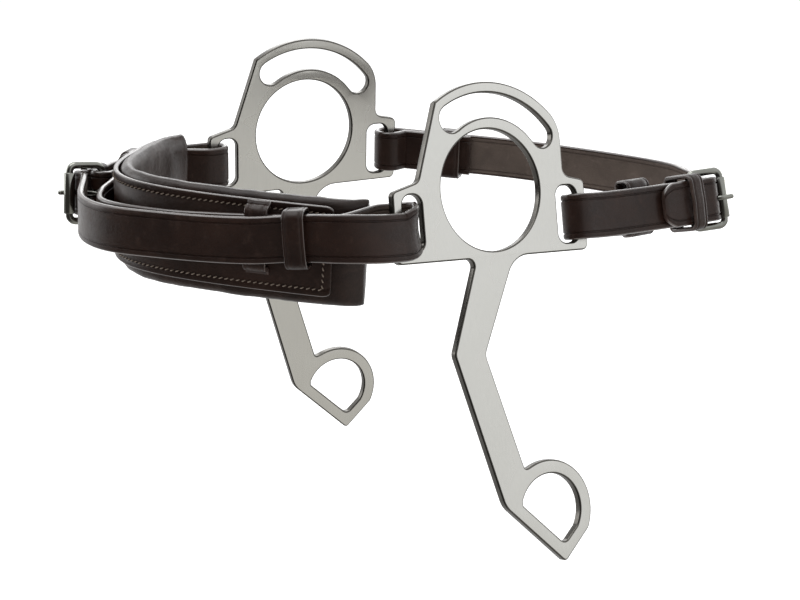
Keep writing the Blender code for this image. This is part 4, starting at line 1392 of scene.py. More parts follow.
@dataclass
class Buckle:
    """A roller buckle: a bent wire frame, a rolled tube on its front bar and a tongue.

    Its frame has the origin on the heel bar, X to the roller, Y outward and Z down its bars.
    """

    strap: Section
    wire: float = 0.0017
    length: float = 0.015
    lift: float = 0.0030
    side_gap: float = 0.0009
    corner: float = 0.0030
    roller_wall: float = 0.0006
    roller_clearance: float = 0.00025
    roller_length: float = 0.0188
    roller_ease: float = 0.00022
    roller_seam: float = 0.00016
    tongue: float = 0.00115
    tongue_clearance: float = 0.0003
    # The tongue's curl round the heel bar: its first angle and how far it turns, in degrees
    curl_start: float = 15.0
    curl_turn: float = 255.0
    curl_steps: int = 36
    curl_end: float = 0.72
    # Its shaft leaves the curl and meets the roller level, over these shares of the buckle's length
    shaft_lead: float = 0.34
    shaft_level: float = 0.42
    shaft_steps: int = 20
    # Its tip past the roller: points as shares of the overhang, the rise, and the last radii
    tongue_overhang: float = 0.0035
    tip_points: tuple[float, ...] = (0.4, 0.75, 0.92, 1.0)
    tip_rise: float = 0.10
    tip_radii: tuple[float, ...] = (0.96, 0.80, 0.45)
    wire_sides: int = 18
    roller_steps: int = 60
    chape_clearance: float = 0.0005
    chape_leads: tuple[float, float] = (0.012, 0.004)
    chape_settle: float = 0.006
    chape_slot: tuple[float, float] = (0.0055, 0.0036)
    chape_slot_corner: float = 0.0014
    # The billet kinks after a flat lead, runs straight for a share of the way to its bend, and passes
    # the heel bar's level by a little
    billet_lead: float = 0.004
    billet_straight: float = 0.6
    billet_past: float = 0.002
    # The billet's holes: their pitch, and each one's length and width
    hole_pitch: float = 0.0125
    hole: tuple[float, float] = (0.0066, 0.0030)
    bend: float = 0.0040
    tail: float = 0.0235
    point: float = 0.006
    fold_steps: int = 14

    def chape_radius(self) -> float:
        """The strap's middle line round the heel bar."""
        return self.wire + self.chape_clearance + self.strap.thickness / 2

    def roller_radius(self) -> float:
        """The roller's outer radius."""
        return self.wire + self.roller_clearance + self.roller_wall

    def billet_height(self) -> float:
        """How far outward of the heel bar the billet's middle line lies."""
        return self.chape_radius() + self.strap.thickness + PLY_GAP

    def gate(self) -> float:
        """Where the billet's middle line passes the roller."""
        return self.length - self.roller_radius() - PLY_GAP - self.strap.thickness / 2

    def kink(self, lift: float) -> float:
        """How far from the heel bar the billet bends to the lifted buckle's direction."""
        return self.billet_height() * math.tan(lift / 2)

    def chape(self, heel: Matrix, back: float) -> list[Station]:
        """Stations of a strap that comes along outside, round the heel bar and back inside.

        Args:
            heel: The heel bar's matrix.
            back: How far the strap's end lies back.

        Returns:
            The stations in order.
        """
        up = -(heel.to_3x3() @ UP).normalized()
        radius = self.chape_radius()
        spots = [(-lead, radius) for lead in self.chape_leads]
        for i in range(self.fold_steps + 1):
            angle = math.pi * (0.5 - i / self.fold_steps)
            spots.append((radius * math.cos(angle), radius * math.sin(angle)))
        spots += [(-self.chape_settle, -radius), (-back, -radius)]
        return [Station(heel @ Vector((a, out, 0.0)), up) for a, out in spots]

    def billet(self, heel: Matrix, buckle: Matrix) -> list[Station]:
        """Stations from the billet's tip over the chape, along the buckle and down through it.

        Args:
            heel: The heel bar's matrix.
            buckle: The lifted buckle's matrix.

        Returns:
            The stations in order.
        """
        height = self.billet_height()
        lift = heel.to_3x3().col[0].angle(buckle.to_3x3().col[0])
        turn_at = self.gate() - self.bend
        straight = self.kink(lift) + (turn_at - self.kink(lift)) * self.billet_straight
        flat = [-self.tail, -self.tail + self.point, -self.kink(lift) - self.billet_lead]
        up = -(heel.to_3x3() @ UP).normalized()
        stations = [Station(heel @ Vector((a, height, 0.0)), up) for a in flat]
        bent = [(straight, height)]
        for i in range(self.fold_steps + 1):
            angle = math.pi / 2 * (1 - i / self.fold_steps)
            level = height - self.bend + self.bend * math.sin(angle)
            bent.append((turn_at + self.bend * math.cos(angle), level))
        bent.append((self.gate(), -self.billet_past))
        up = -(buckle.to_3x3() @ UP).normalized()
        return stations + [Station(buckle @ Vector((a, out, 0.0)), up) for a, out in bent]

    def tongue_line(self) -> list[Vector]:
        """The tongue's middle line: a curl round the heel bar and a shaft to the roller.

        Returns:
            Its points, from the curl's end to the tip.
        """
        curl = self.wire + self.tongue_clearance + self.tongue
        top = self.lift + self.roller_radius() + self.tongue_clearance + self.tongue
        turns = range(self.curl_steps + 1)
        angles = [math.radians(self.curl_start + self.curl_turn * i / self.curl_steps) for i in turns]
        points = [Vector((curl * math.cos(a), curl * math.sin(a), 0.0)) for a in angles]
        start, end = points[-1], Vector((self.length, top, 0.0))
        lead = start + Vector((self.length * self.shaft_lead, 0.0, 0.0))
        rise = end - Vector((self.length * self.shaft_level, 0.0, 0.0))
        for i in range(1, self.shaft_steps + 1):
            t = i / self.shaft_steps
            a, b, c = start.lerp(lead, t), lead.lerp(rise, t), rise.lerp(end, t)
            points.append(a.lerp(b, t).lerp(b.lerp(c, t), t))
        past, rises = self.tongue_overhang, self.tongue_overhang * self.tip_rise
        return points + [end + Vector((past * s, rises * s, 0.0)) for s in self.tip_points]

    def tongue_hole(self, lift: float) -> float:
        """How far from the billet's tip the tongue passes through it.

        Args:
            lift: How far the buckle is turned outward.

        Returns:
            The distance along the billet.
        """
        centre = Vector((self.gate() - self.bend, self.billet_height() - self.bend, 0.0))
        shaft = self.tongue_line()[self.curl_steps:]
        parts = 8
        line = [a.lerp(b, k / parts) for a, b in zip(shaft, shaft[1:]) for k in range(parts)]
        ahead = [point - centre for point in line if point.x > centre.x]
        crossing = min(ahead, key=lambda arm: abs(arm.length - self.bend))
        turned = math.pi / 2 - math.atan2(crossing.y, crossing.x)
        return self.tail + centre.x - 2 * self.kink(lift) + self.bend * turned

    def open_billet(self, punch: Punch, route: Route, lift: float, holes: int) -> None:
        """Adds the billet's holes; the tongue stands in the second one.

        Args:
            punch: What cuts the strap.
            route: The strap's route from the billet's tip.
            lift: How far the buckle is turned outward.
            holes: How many there are.
        """
        first = self.tongue_hole(lift) - self.hole_pitch
        for i in range(holes):
            frame = route.frame_at(first + self.hole_pitch * i)
            punch.oval(frame, *self.hole, self.strap.thickness)

    def open_chape(self, punch: Punch, heel: Matrix) -> None:
        """Adds the slot that lets the tongue through the chape's fold.

        Args:
            punch: What cuts the strap.
            heel: The heel bar's matrix.
        """
        back, width = self.chape_slot
        front = self.chape_radius() + self.strap.thickness
        high = self.chape_radius() + self.strap.thickness / 2 + PLY_GAP / 2
        half = width / 2
        corner = self.chape_slot_corner
        rounded = round_corners([(front, -half, 0.0), (front, half, 0.0), (-back, half, corner),
                                 (-back, -half, corner)], steps=5)
        punch.prism(heel, [(point.x, point.y) for point in rounded], -high, high)

    def round_bar(self, name: str, line: list[Vector], radii: list[float], place: Matrix,
                  closed: bool = False) -> Object:
        """A drawn bar of changing thickness along a line in the buckle's own frame.

        Args:
            name: The object's name.
            line: Points of its middle line, in a plane square to Z or to X.
            radii: Its radius at each point.
            place: The buckle's matrix.
            closed: Whether the bar joins up.

        Returns:
            The bar.
        """
        side = Vector((0.0, 1.0, -0.2)) if closed else Vector((0.0, 0.0, 1.0))
        turned = Route([Station(point, side) for point in line], closed)
        around = [math.tau * k / self.wire_sides for k in range(self.wire_sides)]
        rings = []
        for frame, r in zip(turned.frames, radii):
            matrix = place @ frame
            rings.append([matrix @ Vector((0.0, r * math.cos(a), r * math.sin(a))) for a in around])
        return skin(name, rings, closed)

    def build_frame(self, name: str, place: Matrix) -> Object:
        """Bends the frame, raised towards the roller.

        Args:
            name: The object's name.
            place: The buckle's matrix.

        Returns:
            The frame.
        """
        half = self.strap.width / 2 + self.side_gap + self.wire
        corners = [(0.0, -half), (self.length, -half), (self.length, half), (0.0, half)]
        rounded = round_corners([(a, w, self.corner) for a, w in corners], steps=8)
        line = [Vector((a, self.lift * a / self.length, w)) for a, w in rounded]
        return self.round_bar(name, line, [self.wire] * len(line), place, closed=True)

    def build_tongue(self, name: str, place: Matrix) -> Object:
        """Draws the tongue to a blunt point.

        Args:
            name: The object's name.
            place: The buckle's matrix.

        Returns:
            The tongue.
        """
        line = self.tongue_line()
        radii = [self.tongue] * len(line)
        radii[0] *= self.curl_end
        radii[-len(self.tip_radii):] = [self.tongue * share for share in self.tip_radii]
        return self.round_bar(name, line, radii, place)

    def build_roller(self, name: str, place: Matrix) -> Object:
        """Rolls the tube on the front bar, its ends eased and its seam left as a fine line.

        Args:
            name: The object's name.
            place: The buckle's matrix.

        Returns:
            The roller.
        """
        matrix = place @ Matrix.Translation((self.length, self.lift, 0.0))
        outer, half = self.roller_radius(), self.roller_length / 2
        inner, ease = self.wire + self.roller_clearance, self.roller_ease
        profile = [
            (inner, -half + ease), (inner + ease, -half), (outer - ease, -half),
            (outer, -half + ease), (outer, 0.0), (outer, half - ease),
            (outer - ease, half), (inner + ease, half), (inner, half - ease),
        ]
        rings = []
        for k in range(self.roller_steps):
            angle = math.tau * k / self.roller_steps
            sunk = self.roller_seam if k == 0 else 0.0
            ring = [(r - (sunk if r > inner + ease else 0.0), z) for r, z in profile]
            rings.append([matrix @ Vector((r * math.cos(angle), r * math.sin(angle), z)) for r, z in ring])
        return skin(name, rings, wrap=True)


@dataclass
class Keeper:
    """A closed band of leather round one or two layers of strap."""

    strap: Section
    width: float = 0.0076
    wall: float = 0.0018
    room: float = 0.0004
    slack: float = 0.0014
    corner: float = 0.0034
    # Inside, its corners are this much tighter
    tightness: float = 0.6
    # The radius of the slight crown over its outside
    crown: float = 0.03

    def build(self, name: str, frame: Matrix, inner: float, outer: float,
              finishes: Finishes) -> Object:
        """Bends the keeper.

        Args:
            name: The object's name.
            frame: X along the strap, Y out of its face and Z across it.
            inner: The middle line of its inner layer along Y.
            outer: The middle line of its outer layer along Y.
            finishes: The materials.

        Returns:
            The keeper.
        """
        grow = self.room + self.wall / 2
        # It lies close inside, and stands a little proud of the strap outside and at both edges
        low = inner - self.strap.thickness / 2 - grow
        high = outer + self.strap.thickness / 2 + grow + self.slack * 0.5
        half = self.strap.width / 2 + grow + self.slack * 0.5
        corners = [(low, -half), (0.0, -half), (high, -half), (high + self.slack * 0.5, 0.0),
                   (high, half), (0.0, half), (low, half), (low, 0.0)]
        tight = self.corner * self.tightness
        crown = self.crown if self.slack else 0.0
        radii = [tight, 0.0, self.corner, crown, self.corner, 0.0, tight, 0.0]
        if not low < 0.0 < high:
            corners = [(y if y != 0.0 else (low + high) / 2, z) for y, z in corners]
        rounded = round_corners([(y, z, r) for (y, z), r in zip(corners, radii)], steps=7)
        up = (frame.to_3x3() @ Vector((1.0, 0.0, 0.0))).normalized()
        section = Section(
            self.width, self.wall, edge_round=0.0006, crease_inset=0.0014,
            crease_depth=0.00020, crease_width=0.0005)
        route = Route([Station(frame @ Vector((0.0, y, z)), up) for y, z in rounded], closed=True)
        return Band(name, route, section).build(finishes.strap, finishes.strap_edge)


@dataclass
class NoseStrap:
    """The strap round the front: billet, near fold, inner layer, far fold and buckle."""

    rigging: Rigging
    nosepiece: Nosepiece
    buckle: Buckle
    lift: float = math.radians(48.0)
    tilt: float = math.radians(6.0)
    buckle_station: float = 0.042
    buckle_rise: float = 0.0045
    chape_return: float = 0.016
    holes: int = 2
    keeper_back: float = 0.0095
    slim_width: float = 0.0095
    slim_wall: float = 0.0013
    slim_room: float = 0.0005
    slim_station: float = 0.0845
    slim_ease: float = 0.0007
    # How far past a slot's bar the strap lies along the plate, outside it and inside it
    outer_lead: float = 0.012
    inner_lead: float = 0.004
    # Stations on the nosepiece as (along it, further out than its strap seat, up it)
    inner_route: tuple[Triple, ...] = (
        (-0.101, 0.0036, 0.0094), (-0.090, 0.0017, 0.0081), (-0.079, 0.0015, 0.0068),
        (-0.066, 0.0002, 0.0054), (-0.048, 0.0005, 0.0040), (-0.026, 0.0036, 0.0030),
        (0.0, 0.0070, 0.0018), (0.018, 0.0036, 0.0018), (0.034, 0.0002, 0.0028), (0.050, 0.0, 0.0038),
        (0.066, 0.0002, 0.0045), (0.079, 0.0015, 0.0050), (0.090, 0.0017, 0.0053), (0.101, 0.0036, 0.0055),
    )
    near_route: tuple[Triple, ...] = (
        (0.012, 0.0130, 0.0018), (0.0, 0.0130, 0.0018), (-0.010, 0.0120, 0.0022), (-0.026, 0.0086, 0.0030),
        (-0.048, 0.0066, 0.0040), (-0.066, 0.0066, 0.0056), (-0.079, 0.0054, 0.0074),
        (-0.090, 0.0056, 0.0089), (-0.101, 0.0078, 0.0104),
    )
    # How far the last two stations before the near slot have turned to the leaning cheek
    turned: tuple[float, float] = (0.30, 0.65)
    far_route: tuple[Triple, ...] = (
        (0.101, 0.0078, 0.0055), (0.090, 0.0056, 0.0053), (0.079, 0.0054, 0.0050), (0.066, 0.0088, 0.0045),
    )

    def heel(self) -> Matrix:
        """The buckle's heel bar, in line with the strap on the far half of the nosepiece.

        Returns:
            The heel bar's matrix.
        """
        buckle = self.buckle
        outward = self.nosepiece.strap_seat() + buckle.strap.thickness + PLY_GAP + buckle.chape_radius()
        seat = self.nosepiece.station(self.buckle_station, outward, self.buckle_rise)
        return seat @ Matrix.Rotation(math.pi + self.tilt, 4, "Y")

    def lifted(self) -> Matrix:
        """The buckle turned outward about its heel bar."""
        return self.heel() @ Matrix.Rotation(self.lift, 4, "Z")

    def laid(self, spots: tuple[Triple, ...]) -> list[Station]:
        """Stations on the nosepiece for a planned stretch."""
        seat = self.nosepiece.strap_seat()
        return [self.nosepiece.on(along, seat + extra, rise) for along, extra, rise in spots]

    @cached_property
    def route(self) -> Route:
        """The whole strap from the billet's tip to the chape's end.

        Returns:
            The route.
        """
        rig, nose = self.rigging, Reach.NOSE
        out = rig.radius()
        outer, inner = self.outer_lead, self.inner_lead
        stations = self.buckle.billet(self.heel(), self.lifted()) + self.laid(self.near_route)
        before = rig.beside(Side.NEAR, nose, outer, out)
        for i, share in zip((-2, -1), self.turned):
            stations[i] = Station(stations[i].place, stations[i].up.lerp(before.up, share))
        stations.append(Station(before.place - UP * rig.near_sag, before.up))
        stations += rig.fold(Side.NEAR, nose) + [rig.beside(Side.NEAR, nose, inner, -out)]
        stations += self.laid(self.inner_route) + [rig.beside(Side.FAR, nose, inner, -out)]
        stations += list(reversed(rig.fold(Side.FAR, nose))) + [rig.beside(Side.FAR, nose, outer, out)]
        stations += self.laid(self.far_route) + self.buckle.chape(self.heel(), self.chape_return)
        return Route(stations).smoothed(STRAP_STEP)

    def build_strap(self, finishes: Finishes) -> Object:
        """Sweeps the strap and punches it.

        Args:
            finishes: The materials.

        Returns:
            The strap.
        """
        band = Band("nose_strap_leather", self.route, self.buckle.strap, pointed=True)
        strap = band.build(finishes.strap, finishes.strap_edge, finishes.flesh)
        punch = Punch(finishes.strap_edge)
        self.buckle.open_billet(punch, self.route, self.lift, self.holes)
        self.buckle.open_chape(punch, self.heel())
        punch.cut(strap)
        return strap

    def ply_at(self, spots: tuple[Triple, ...], side: Side) -> Matrix:
        """The strap's frame where one of its layers passes the slim keeper.

        Args:
            spots: The layer's planned stations.
            side: Which cheek.

        Returns:
            The frame.
        """
        at = side.value * self.slim_station
        ordered = sorted(spots)
        for (s0, e0, r0), (s1, e1, r1) in zip(ordered, ordered[1:]):
            if s0 <= at <= s1:
                share = (at - s0) / (s1 - s0)
                spot = (at, e0 + (e1 - e0) * share, r0 + (r1 - r0) * share)
        wanted = self.laid((spot,))[0].place
        return self.route.frame_at(self.route.distance_near(wanted))

    def build_slim_keeper(self, name: str, side: Side, finishes: Finishes) -> Object:
        """Bends the thin free keeper round both layers of the strap.

        Args:
            name: The object's name.
            side: Which cheek.
            finishes: The materials.

        Returns:
            The keeper.
        """
        inner = self.ply_at(self.inner_route, side)
        outer = self.ply_at(self.near_route if side is Side.NEAR else self.far_route, side)
        along = (inner.to_3x3().col[0] - outer.to_3x3().col[0]).normalized()
        outward = (inner.to_3x3().col[2] + outer.to_3x3().col[2]).cross(along).normalized()
        frame = Matrix((along, outward, along.cross(outward))).transposed().to_4x4()
        frame.translation = (inner.translation + outer.translation) / 2
        half = (outer.translation - inner.translation).dot(outward) / 2
        keeper = Keeper(self.buckle.strap, self.slim_width, self.slim_wall, self.slim_room)
        return keeper.build(name, frame, -half, half + self.slim_ease, finishes)


@dataclass
class CurbStraps:
    """The short near strap with the buckle, and the long strap from the far cheek."""

    rigging: Rigging
    buckle: Buckle
    near_length: float = 0.065
    near_return: float = 0.034
    return_rise: float = 0.005
    far_return: tuple[float, float] = (0.010, 0.046)
    chape_return: float = 0.028
    buckle_rise: float = 0.0030
    lift: float = math.radians(10.0)
    holes: int = 3
    keeper_back: float = 0.0055
    far_keeper: float = 0.0354
    far_keeper_width: float = 0.011
    far_keeper_slack: float = 0.0003
    inner_loop_width: float = 0.013
    inner_loop_wall: float = 0.0013
    inner_loop_room: float = 0.0016
    inner_loop_back: float = 0.0305
    inner_loop_rise: float = 0.0014
    # How far under the chape the loop's two layers lie
    inner_loop_drops: tuple[float, float] = (0.0018, 0.0007)
    # How far past a slot's bar the straps lie along the plate
    near_inner_lead: float = 0.008
    near_outer_lead: float = 0.010
    far_lead: float = 0.002
    # How the long strap bows under the jaw, as (share of its length, rearward, down)
    bow: tuple[Triple, ...] = (
        (0.16, 0.0108, 0.0008), (0.32, 0.0216, 0.0015), (0.49, 0.0285, 0.0022), (0.70, 0.0303, 0.0024),
        (0.83, 0.0252, 0.0018), (0.91, 0.0145, 0.0010),
    )

    def heel(self) -> Matrix:
        """The buckle's heel bar, in line with the near rear slot.

        Returns:
            The heel bar's matrix.
        """
        rig = self.rigging
        outward = rig.radius() - self.buckle.chape_radius()
        place = rig.beside(Side.NEAR, Reach.JAW, self.near_length, outward).place
        matrix = rig.cheeks.matrix(Side.NEAR)
        matrix.translation = place + UP * self.buckle_rise
        return matrix @ Matrix.Rotation(-rig.cheeks.near_pitch, 4, "Y") @ Matrix.Rotation(math.pi, 4, "X")

    def lifted(self) -> Matrix:
        """The buckle turned outward about its heel bar."""
        return self.heel() @ Matrix.Rotation(self.lift, 4, "Z")

    @cached_property
    def near_route(self) -> Route:
        """The short strap from its folded end round the bar to the chape's end.

        Returns:
            The route.
        """
        rig, jaw, out = self.rigging, Reach.JAW, self.rigging.radius()
        stations = [rig.beside(Side.NEAR, jaw, self.near_return, -out + self.return_rise),
                    rig.beside(Side.NEAR, jaw, self.near_inner_lead, -out)]
        stations += list(reversed(rig.fold(Side.NEAR, jaw)))
        stations.append(rig.beside(Side.NEAR, jaw, self.near_outer_lead, out))
        return Route(stations + self.buckle.chape(self.heel(), self.chape_return)).smoothed(STRAP_STEP)

    @cached_property
    def main_route(self) -> Route:
        """The long strap from the billet's tip round the jaw to the far slot.

        Returns:
            The route.
        """
        stations = self.buckle.billet(self.heel(), self.lifted())
        start = stations[-1]
        end = self.rigging.beside(Side.FAR, Reach.JAW, self.far_lead, self.rigging.radius())
        rearward = UP.cross(end.place - start.place).normalized()
        for share, bow, sag in reversed(self.bow):
            place = end.place.lerp(start.place, share) - rearward * bow - UP * sag
            stations.append(Station(place, end.up.lerp(start.up, share)))
        return Route(stations + [end]).smoothed(STRAP_STEP)

    def ply_step(self) -> float:
        """From the middle line of the long strap to that of its folded end."""
        return self.buckle.strap.thickness + PLY_GAP * 2

    @cached_property
    def far_route(self) -> Route:
        """The long strap with its fold round the far bar and the end laid back along it.

        Returns:
            The route.
        """
        back = self.main_route.reversed()
        beside = []
        for frame, distance in zip(back.frames, back.walked):
            if self.far_return[0] <= distance <= self.far_return[1]:
                along, _, up = (frame.to_3x3().col[i] for i in range(3))
                beside.append(Station(frame.translation + along.cross(up) * self.ply_step(), up.copy()))
        turn = [self.main_route.stations[-1]] + self.rigging.fold(Side.FAR, Reach.JAW) + beside
        return Route(self.main_route.stations[:-1] + Route(turn).smoothed(STRAP_STEP).stations)

    def build_near(self, finishes: Finishes) -> Object:
        """Sweeps the short strap and opens its chape for the tongue.

        Args:
            finishes: The materials.

        Returns:
            The strap.
        """
        strap = Band("curb_strap_short", self.near_route, self.buckle.strap)
        made = strap.build(finishes.strap, finishes.strap_edge, finishes.flesh)
        punch = Punch(finishes.strap_edge)
        self.buckle.open_chape(punch, self.heel())
        punch.cut(made)
        return made

    def build_far(self, finishes: Finishes) -> Object:
        """Sweeps the long strap and punches its holes.

        Args:
            finishes: The materials.

        Returns:
            The strap.
        """
        band = Band("curb_strap_long", self.far_route, self.buckle.strap, pointed=True)
        made = band.build(finishes.strap, finishes.strap_edge, finishes.flesh)
        punch = Punch(finishes.strap_edge)
        self.buckle.open_billet(punch, self.far_route, self.lift, self.holes)
        punch.cut(made)
        return made


# Studio


@dataclass
class Studio:
    """A white floor, soft lamps, white surroundings and the camera."""

    lens: float = 85.0
    sensor: float = 36.0
    nearest: float = 0.02
    eye: Triple = (-0.3253, -0.7557, 0.1872)
    right: Triple = (0.8561, -0.5168, 0.0)
    upward: Triple = (0.1364, 0.2259, 0.9645)
    backdrop: Triple = (0.517, 0.856, 0.0)
    flag: Triple = (-0.93, -0.35, -0.10)
    # The backdrop's light from its foot to its top
    backdrop_light: tuple[float, float] = (0.8, 1.2)
    floor_size: float = 14.0
    # The rein rings swing below their rest height
    floor_gap: float = 0.016
    floor_glow: float = 0.60
    floor_roughness: float = 0.95
    room_light: float = 0.45
    aim: Triple = (0.06, 0.0, -0.02)
    # Soft square lamps, as (name, place, length of a side, watts)
    lamps: tuple[tuple[str, Triple, float, float], ...] = (
        ("key_lamp", (-0.35, 0.10, 1.45), 1.1, 9.0),
        ("side_lamp", (-0.95, 1.05, 0.30), 0.9, 6.0),
        ("back_lamp", (0.75, 1.10, 0.80), 0.9, 6.0),
        ("right_lamp", (1.50, 0.15, 0.15), 0.9, 5.5),
    )

    def build_floor(self, lowest: float) -> None:
        """Lays a pale floor a little under the hackamore, which keeps its shadow.

        Args:
            lowest: The height of the hackamore's lowest point.
        """
        half = self.floor_size / 2
        work = bmesh.new()
        corners = ((-half, -half), (half, -half), (half, half), (-half, half))
        work.faces.new([work.verts.new((x, y, lowest - self.floor_gap)) for x, y in corners])
        floor = finished("floor", work)
        paper, tree, shader = bare_material("white_paper")
        shader.inputs["Base Color"].default_value = linear("#F4F4F4")
        shader.inputs["Roughness"].default_value = self.floor_roughness
        shader.inputs["Specular IOR Level"].default_value = 0.0
        shader.inputs["Emission Color"].default_value = (1.0, 1.0, 1.0, 1.0)
        shader.inputs["Emission Strength"].default_value = self.floor_glow
        # The steel and the wax see the studio's own walls instead, also below the horizon
        ray = node(tree, "ShaderNodeLightPath")
        both = node(tree, "ShaderNodeMixShader", {
            0: ray.outputs["Is Glossy Ray"], 1: shader.outputs[0],
            2: node(tree, "ShaderNodeBsdfTransparent").outputs[0]})
        tree.links.new(both.outputs[0], tree.nodes["Material Output"].inputs["Surface"])
        floor.data.materials.append(paper)
        floor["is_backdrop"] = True

    def build_world(self) -> None:
        """Surrounds the scene with a white backdrop, and a dimmer room behind the photographer."""
        world = bpy.data.worlds.new("white_room")
        bpy.context.scene.world = world
        world.use_nodes = True
        tree = world.node_tree
        ray = node(tree, "ShaderNodeLightPath")
        look = node(tree, "ShaderNodeTexCoord").outputs["Generated"]
        height = node(tree, "ShaderNodeSeparateXYZ", {0: look})
        rise = node(tree, "ShaderNodeMapRange", {
            "Value": height.outputs["Z"], "From Min": -0.40, "From Max": 0.22})
        room = node(tree, "ShaderNodeMix", {
            "Factor": rise.outputs[0], MIX_A: linear("#D0CDC7"), MIX_B: linear("#FFFFFF")}, data_type="RGBA")
        away = node(tree, "ShaderNodeVectorMath", {0: look, 1: self.backdrop}, operation="DOT_PRODUCT")
        foot, top = ((light, light, light, 1.0) for light in self.backdrop_light)
        behind = node(tree, "ShaderNodeMapRange", {
            "Value": away.outputs["Value"], "From Min": -0.25, "From Max": 0.35})
        glow = node(tree, "ShaderNodeMix", {
            "Factor": rise.outputs[0], MIX_A: foot, MIX_B: top}, data_type="RGBA")
        walls = node(tree, "ShaderNodeMix", {
            "Factor": behind.outputs[0], MIX_A: room.outputs[MIXED], MIX_B: glow.outputs[MIXED]},
            data_type="RGBA")
        # A dark flag at the left keeps the leather's front dark
        aside = node(tree, "ShaderNodeVectorMath", {0: look, 1: self.flag}, operation="DOT_PRODUCT")
        shaded = node(tree, "ShaderNodeMapRange", {
            "Value": aside.outputs["Value"], "From Min": 0.35, "From Max": 0.72})
        flagged = node(tree, "ShaderNodeMix", {
            "Factor": shaded.outputs[0], MIX_A: walls.outputs[MIXED], MIX_B: linear("#4C4A46")},
            data_type="RGBA")
        seen = node(tree, "ShaderNodeBackground", {"Color": (1.0, 1.0, 1.0, 1.0), "Strength": 1.0})
        mirrored = node(tree, "ShaderNodeBackground", {"Color": flagged.outputs[MIXED], "Strength": 1.0})
        soft = node(tree, "ShaderNodeBackground", {
            "Color": (1.0, 1.0, 1.0, 1.0), "Strength": self.room_light})
        inner = node(tree, "ShaderNodeMixShader", {
            0: ray.outputs["Is Glossy Ray"], 1: soft.outputs[0], 2: mirrored.outputs[0]})
        outer = node(tree, "ShaderNodeMixShader", {
            0: ray.outputs["Is Camera Ray"], 1: inner.outputs[0], 2: seen.outputs[0]})
        tree.links.new(outer.outputs[0], tree.nodes["World Output"].inputs["Surface"])

    def lamp(self, name: str, place: Triple, size: float, power: float) -> None:
        """Hangs a soft square lamp that faces the hackamore's middle.

        Args:
            name: The lamp's name.
            place: Where it hangs.
            size: The length of its side.
            power: Its power in watts.
        """
        data = bpy.data.lights.new(name, "AREA")
        data.shape = "SQUARE"
        data.size = size
        data.energy = power
        hung = bpy.data.objects.new(name, data)
        hung.location = place
        hung.rotation_euler = (Vector(self.aim) - Vector(place)).to_track_quat("-Z", "Y").to_euler()
        bpy.context.scene.collection.objects.link(hung)

    def build_camera(self) -> None:
        """Sets the camera where the photographer stood."""
        data = bpy.data.cameras.new("camera")
        data.lens = self.lens
        data.sensor_width = self.sensor
        data.clip_start = self.nearest
        right, upward = Vector(self.right).normalized(), Vector(self.upward).normalized()
        turned = Matrix((right, upward, right.cross(upward))).transposed().to_4x4()
        camera = bpy.data.objects.new("camera", data)
        camera.matrix_world = Matrix.Translation(Vector(self.eye)) @ turned
        bpy.context.scene.collection.objects.link(camera)
        bpy.context.scene.camera = camera

    def build(self, lowest: float) -> None:
        """Builds the whole studio over a floor at the given height.

        Args:
            lowest: The height of the hackamore's lowest point.
        """
        self.build_world()
        self.build_floor(lowest)
        for name, place, size, power in self.lamps:
            self.lamp(name, place, size, power)
        self.build_camera()
        bpy.context.scene.view_settings.view_transform = "Standard"


def build_levers(cheeks: Cheeks, finishes: Finishes) -> None:
    """Builds both cheeks.

    Args:
        cheeks: The cheeks.
        finishes: The materials.
    """
    near = cheeks.build("near_cheek_plate", Side.NEAR, finishes)
    settle(near, Body.NEAR_LEVER, Slot.PLATE, "near_cheek")
    far = cheeks.build("far_cheek_plate", Side.FAR, finishes)
    settle(far, Body.FAR_LEVER, Slot.PLATE, "far_cheek")


def build_nosepiece(nosepiece: Nosepiece, finishes: Finishes) -> None:
    """Builds the cushion, its facing with stitches, and both loops.

    Args:
        nosepiece: The nosepiece.
        finishes: The materials.
    """
    cushion = nosepiece.build_cushion(finishes)
    settle(cushion, Body.NOSEPIECE, Slot.PAD, "nose_pad")
    settle(nosepiece.build_facing(finishes), Body.NOSEPIECE, Slot.PAD, "nose_facing")
    settle(nosepiece.facing_stitches(Seam(), finishes.thread), Body.NOSEPIECE, Slot.PAD)
    for name, node_name, side in (("near_loop_leather", "near_nose_loop", Side.NEAR),
                                  ("far_loop_leather", "far_nose_loop", Side.FAR)):
        settle(nosepiece.build_loop(name, side, finishes), Body.NOSEPIECE, Slot.STRAP, node_name)


def build_buckle(prefix: str, buckle: Buckle, place: Matrix, bodies: tuple[Body, Body, Body],
                 finishes: Finishes) -> None:
    """Builds a buckle's frame, tongue and roller.

    Args:
        prefix: The strap's name.
        buckle: The buckle.
        place: Its matrix.
        bodies: The bodies of its frame, tongue and roller.
        finishes: The materials.
    """
    parts = (
        (buckle.build_frame(prefix + "_buckle_bent_wire", place), prefix + "_buckle_frame"),
        (buckle.build_tongue(prefix + "_buckle_drawn_tongue", place), prefix + "_buckle_tongue"),
        (buckle.build_roller(prefix + "_buckle_rolled_tube", place), prefix + "_buckle_roller"),
    )
    for (piece, node_name), body in zip(parts, bodies):
        piece.data.materials.append(finishes.buckle)
        settle(piece, body, Slot.BUCKLE, node_name)


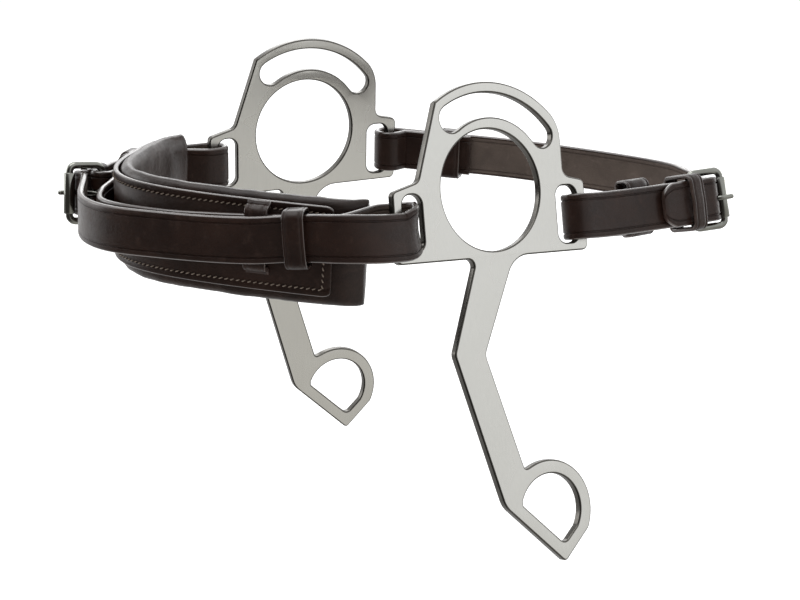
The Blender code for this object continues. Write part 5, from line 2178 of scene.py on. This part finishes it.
def build_nose_strap(strap: NoseStrap, finishes: Finishes) -> None:
    """Builds the nose strap, its buckle and its three keepers.

    Args:
        strap: The nose strap.
        finishes: The materials.
    """
    nose = Body.NOSEPIECE
    settle(strap.build_strap(finishes), nose, Slot.STRAP, "nose_strap")
    build_buckle("nose", strap.buckle, strap.lifted(), (nose, Body.NOSE_TONGUE, Body.NOSE_ROLLER), finishes)
    behind = strap.heel() @ Matrix.Translation((-strap.keeper_back, 0.0, 0.0))
    fixed = Keeper(strap.buckle.strap).build(
        "nose_keeper_sewn", behind, strap.buckle.chape_radius(), strap.buckle.billet_height(), finishes)
    settle(fixed, nose, Slot.STRAP, "nose_keeper_fixed")
    near = strap.build_slim_keeper("nose_keeper_free_near", Side.NEAR, finishes)
    settle(near, Body.NEAR_KEEPER, Slot.STRAP, "nose_keeper_near")
    far = strap.build_slim_keeper("nose_keeper_free_far", Side.FAR, finishes)
    settle(far, Body.FAR_KEEPER, Slot.STRAP, "nose_keeper_far")


def build_curb(curb: CurbStraps, finishes: Finishes) -> None:
    """Builds both curb straps, the buckle, its keeper, the inner loop and the far keeper.

    Args:
        curb: The curb's straps.
        finishes: The materials.
    """
    body, buckle, stock = Body.CURB, curb.buckle, curb.buckle.strap
    settle(curb.build_near(finishes), body, Slot.STRAP, "curb_strap_near")
    settle(curb.build_far(finishes), body, Slot.STRAP, "curb_strap_far")
    build_buckle("curb", buckle, curb.lifted(), (body, Body.CURB_TONGUE, Body.CURB_ROLLER), finishes)
    under = -buckle.chape_radius()
    behind = curb.heel() @ Matrix.Translation((-curb.keeper_back, 0.0, 0.0))
    fixed = Keeper(stock).build("curb_keeper_sewn", behind, under, buckle.billet_height(), finishes)
    settle(fixed, body, Slot.STRAP, "curb_keeper_fixed")
    beyond = curb.heel() @ Matrix.Translation((-curb.inner_loop_back, 0.0, -curb.inner_loop_rise))
    wide = Keeper(stock, width=curb.inner_loop_width, wall=curb.inner_loop_wall,
                  room=curb.inner_loop_room, slack=0.0)
    layers = [under - drop for drop in curb.inner_loop_drops]
    inner = wide.build("curb_inner_band", beyond, *layers, finishes)
    settle(inner, body, Slot.STRAP, "curb_inner_loop")
    both = curb.main_route.reversed().frame_at(curb.far_keeper)
    double = Keeper(stock, width=curb.far_keeper_width, slack=curb.far_keeper_slack)
    far = double.build("curb_keeper_band", both, -curb.ply_step(), 0.0, finishes)
    settle(far, body, Slot.STRAP, "curb_keeper_far")


def main() -> None:
    """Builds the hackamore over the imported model, then the studio."""
    logging.basicConfig(level=logging.INFO, format="%(name)s: %(message)s")
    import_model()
    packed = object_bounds()
    finishes = Finishes()
    cheeks = Cheeks()
    rigging = Rigging(cheeks)
    nosepiece = Nosepiece()
    buckle = Buckle(rigging.strap)
    build_levers(cheeks, finishes)
    build_nosepiece(nosepiece, finishes)
    build_nose_strap(NoseStrap(rigging, nosepiece, buckle), finishes)
    build_curb(CurbStraps(rigging, buckle), finishes)
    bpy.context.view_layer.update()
    Studio().build(packed[0][2])


if __name__ == "__main__":
    main()
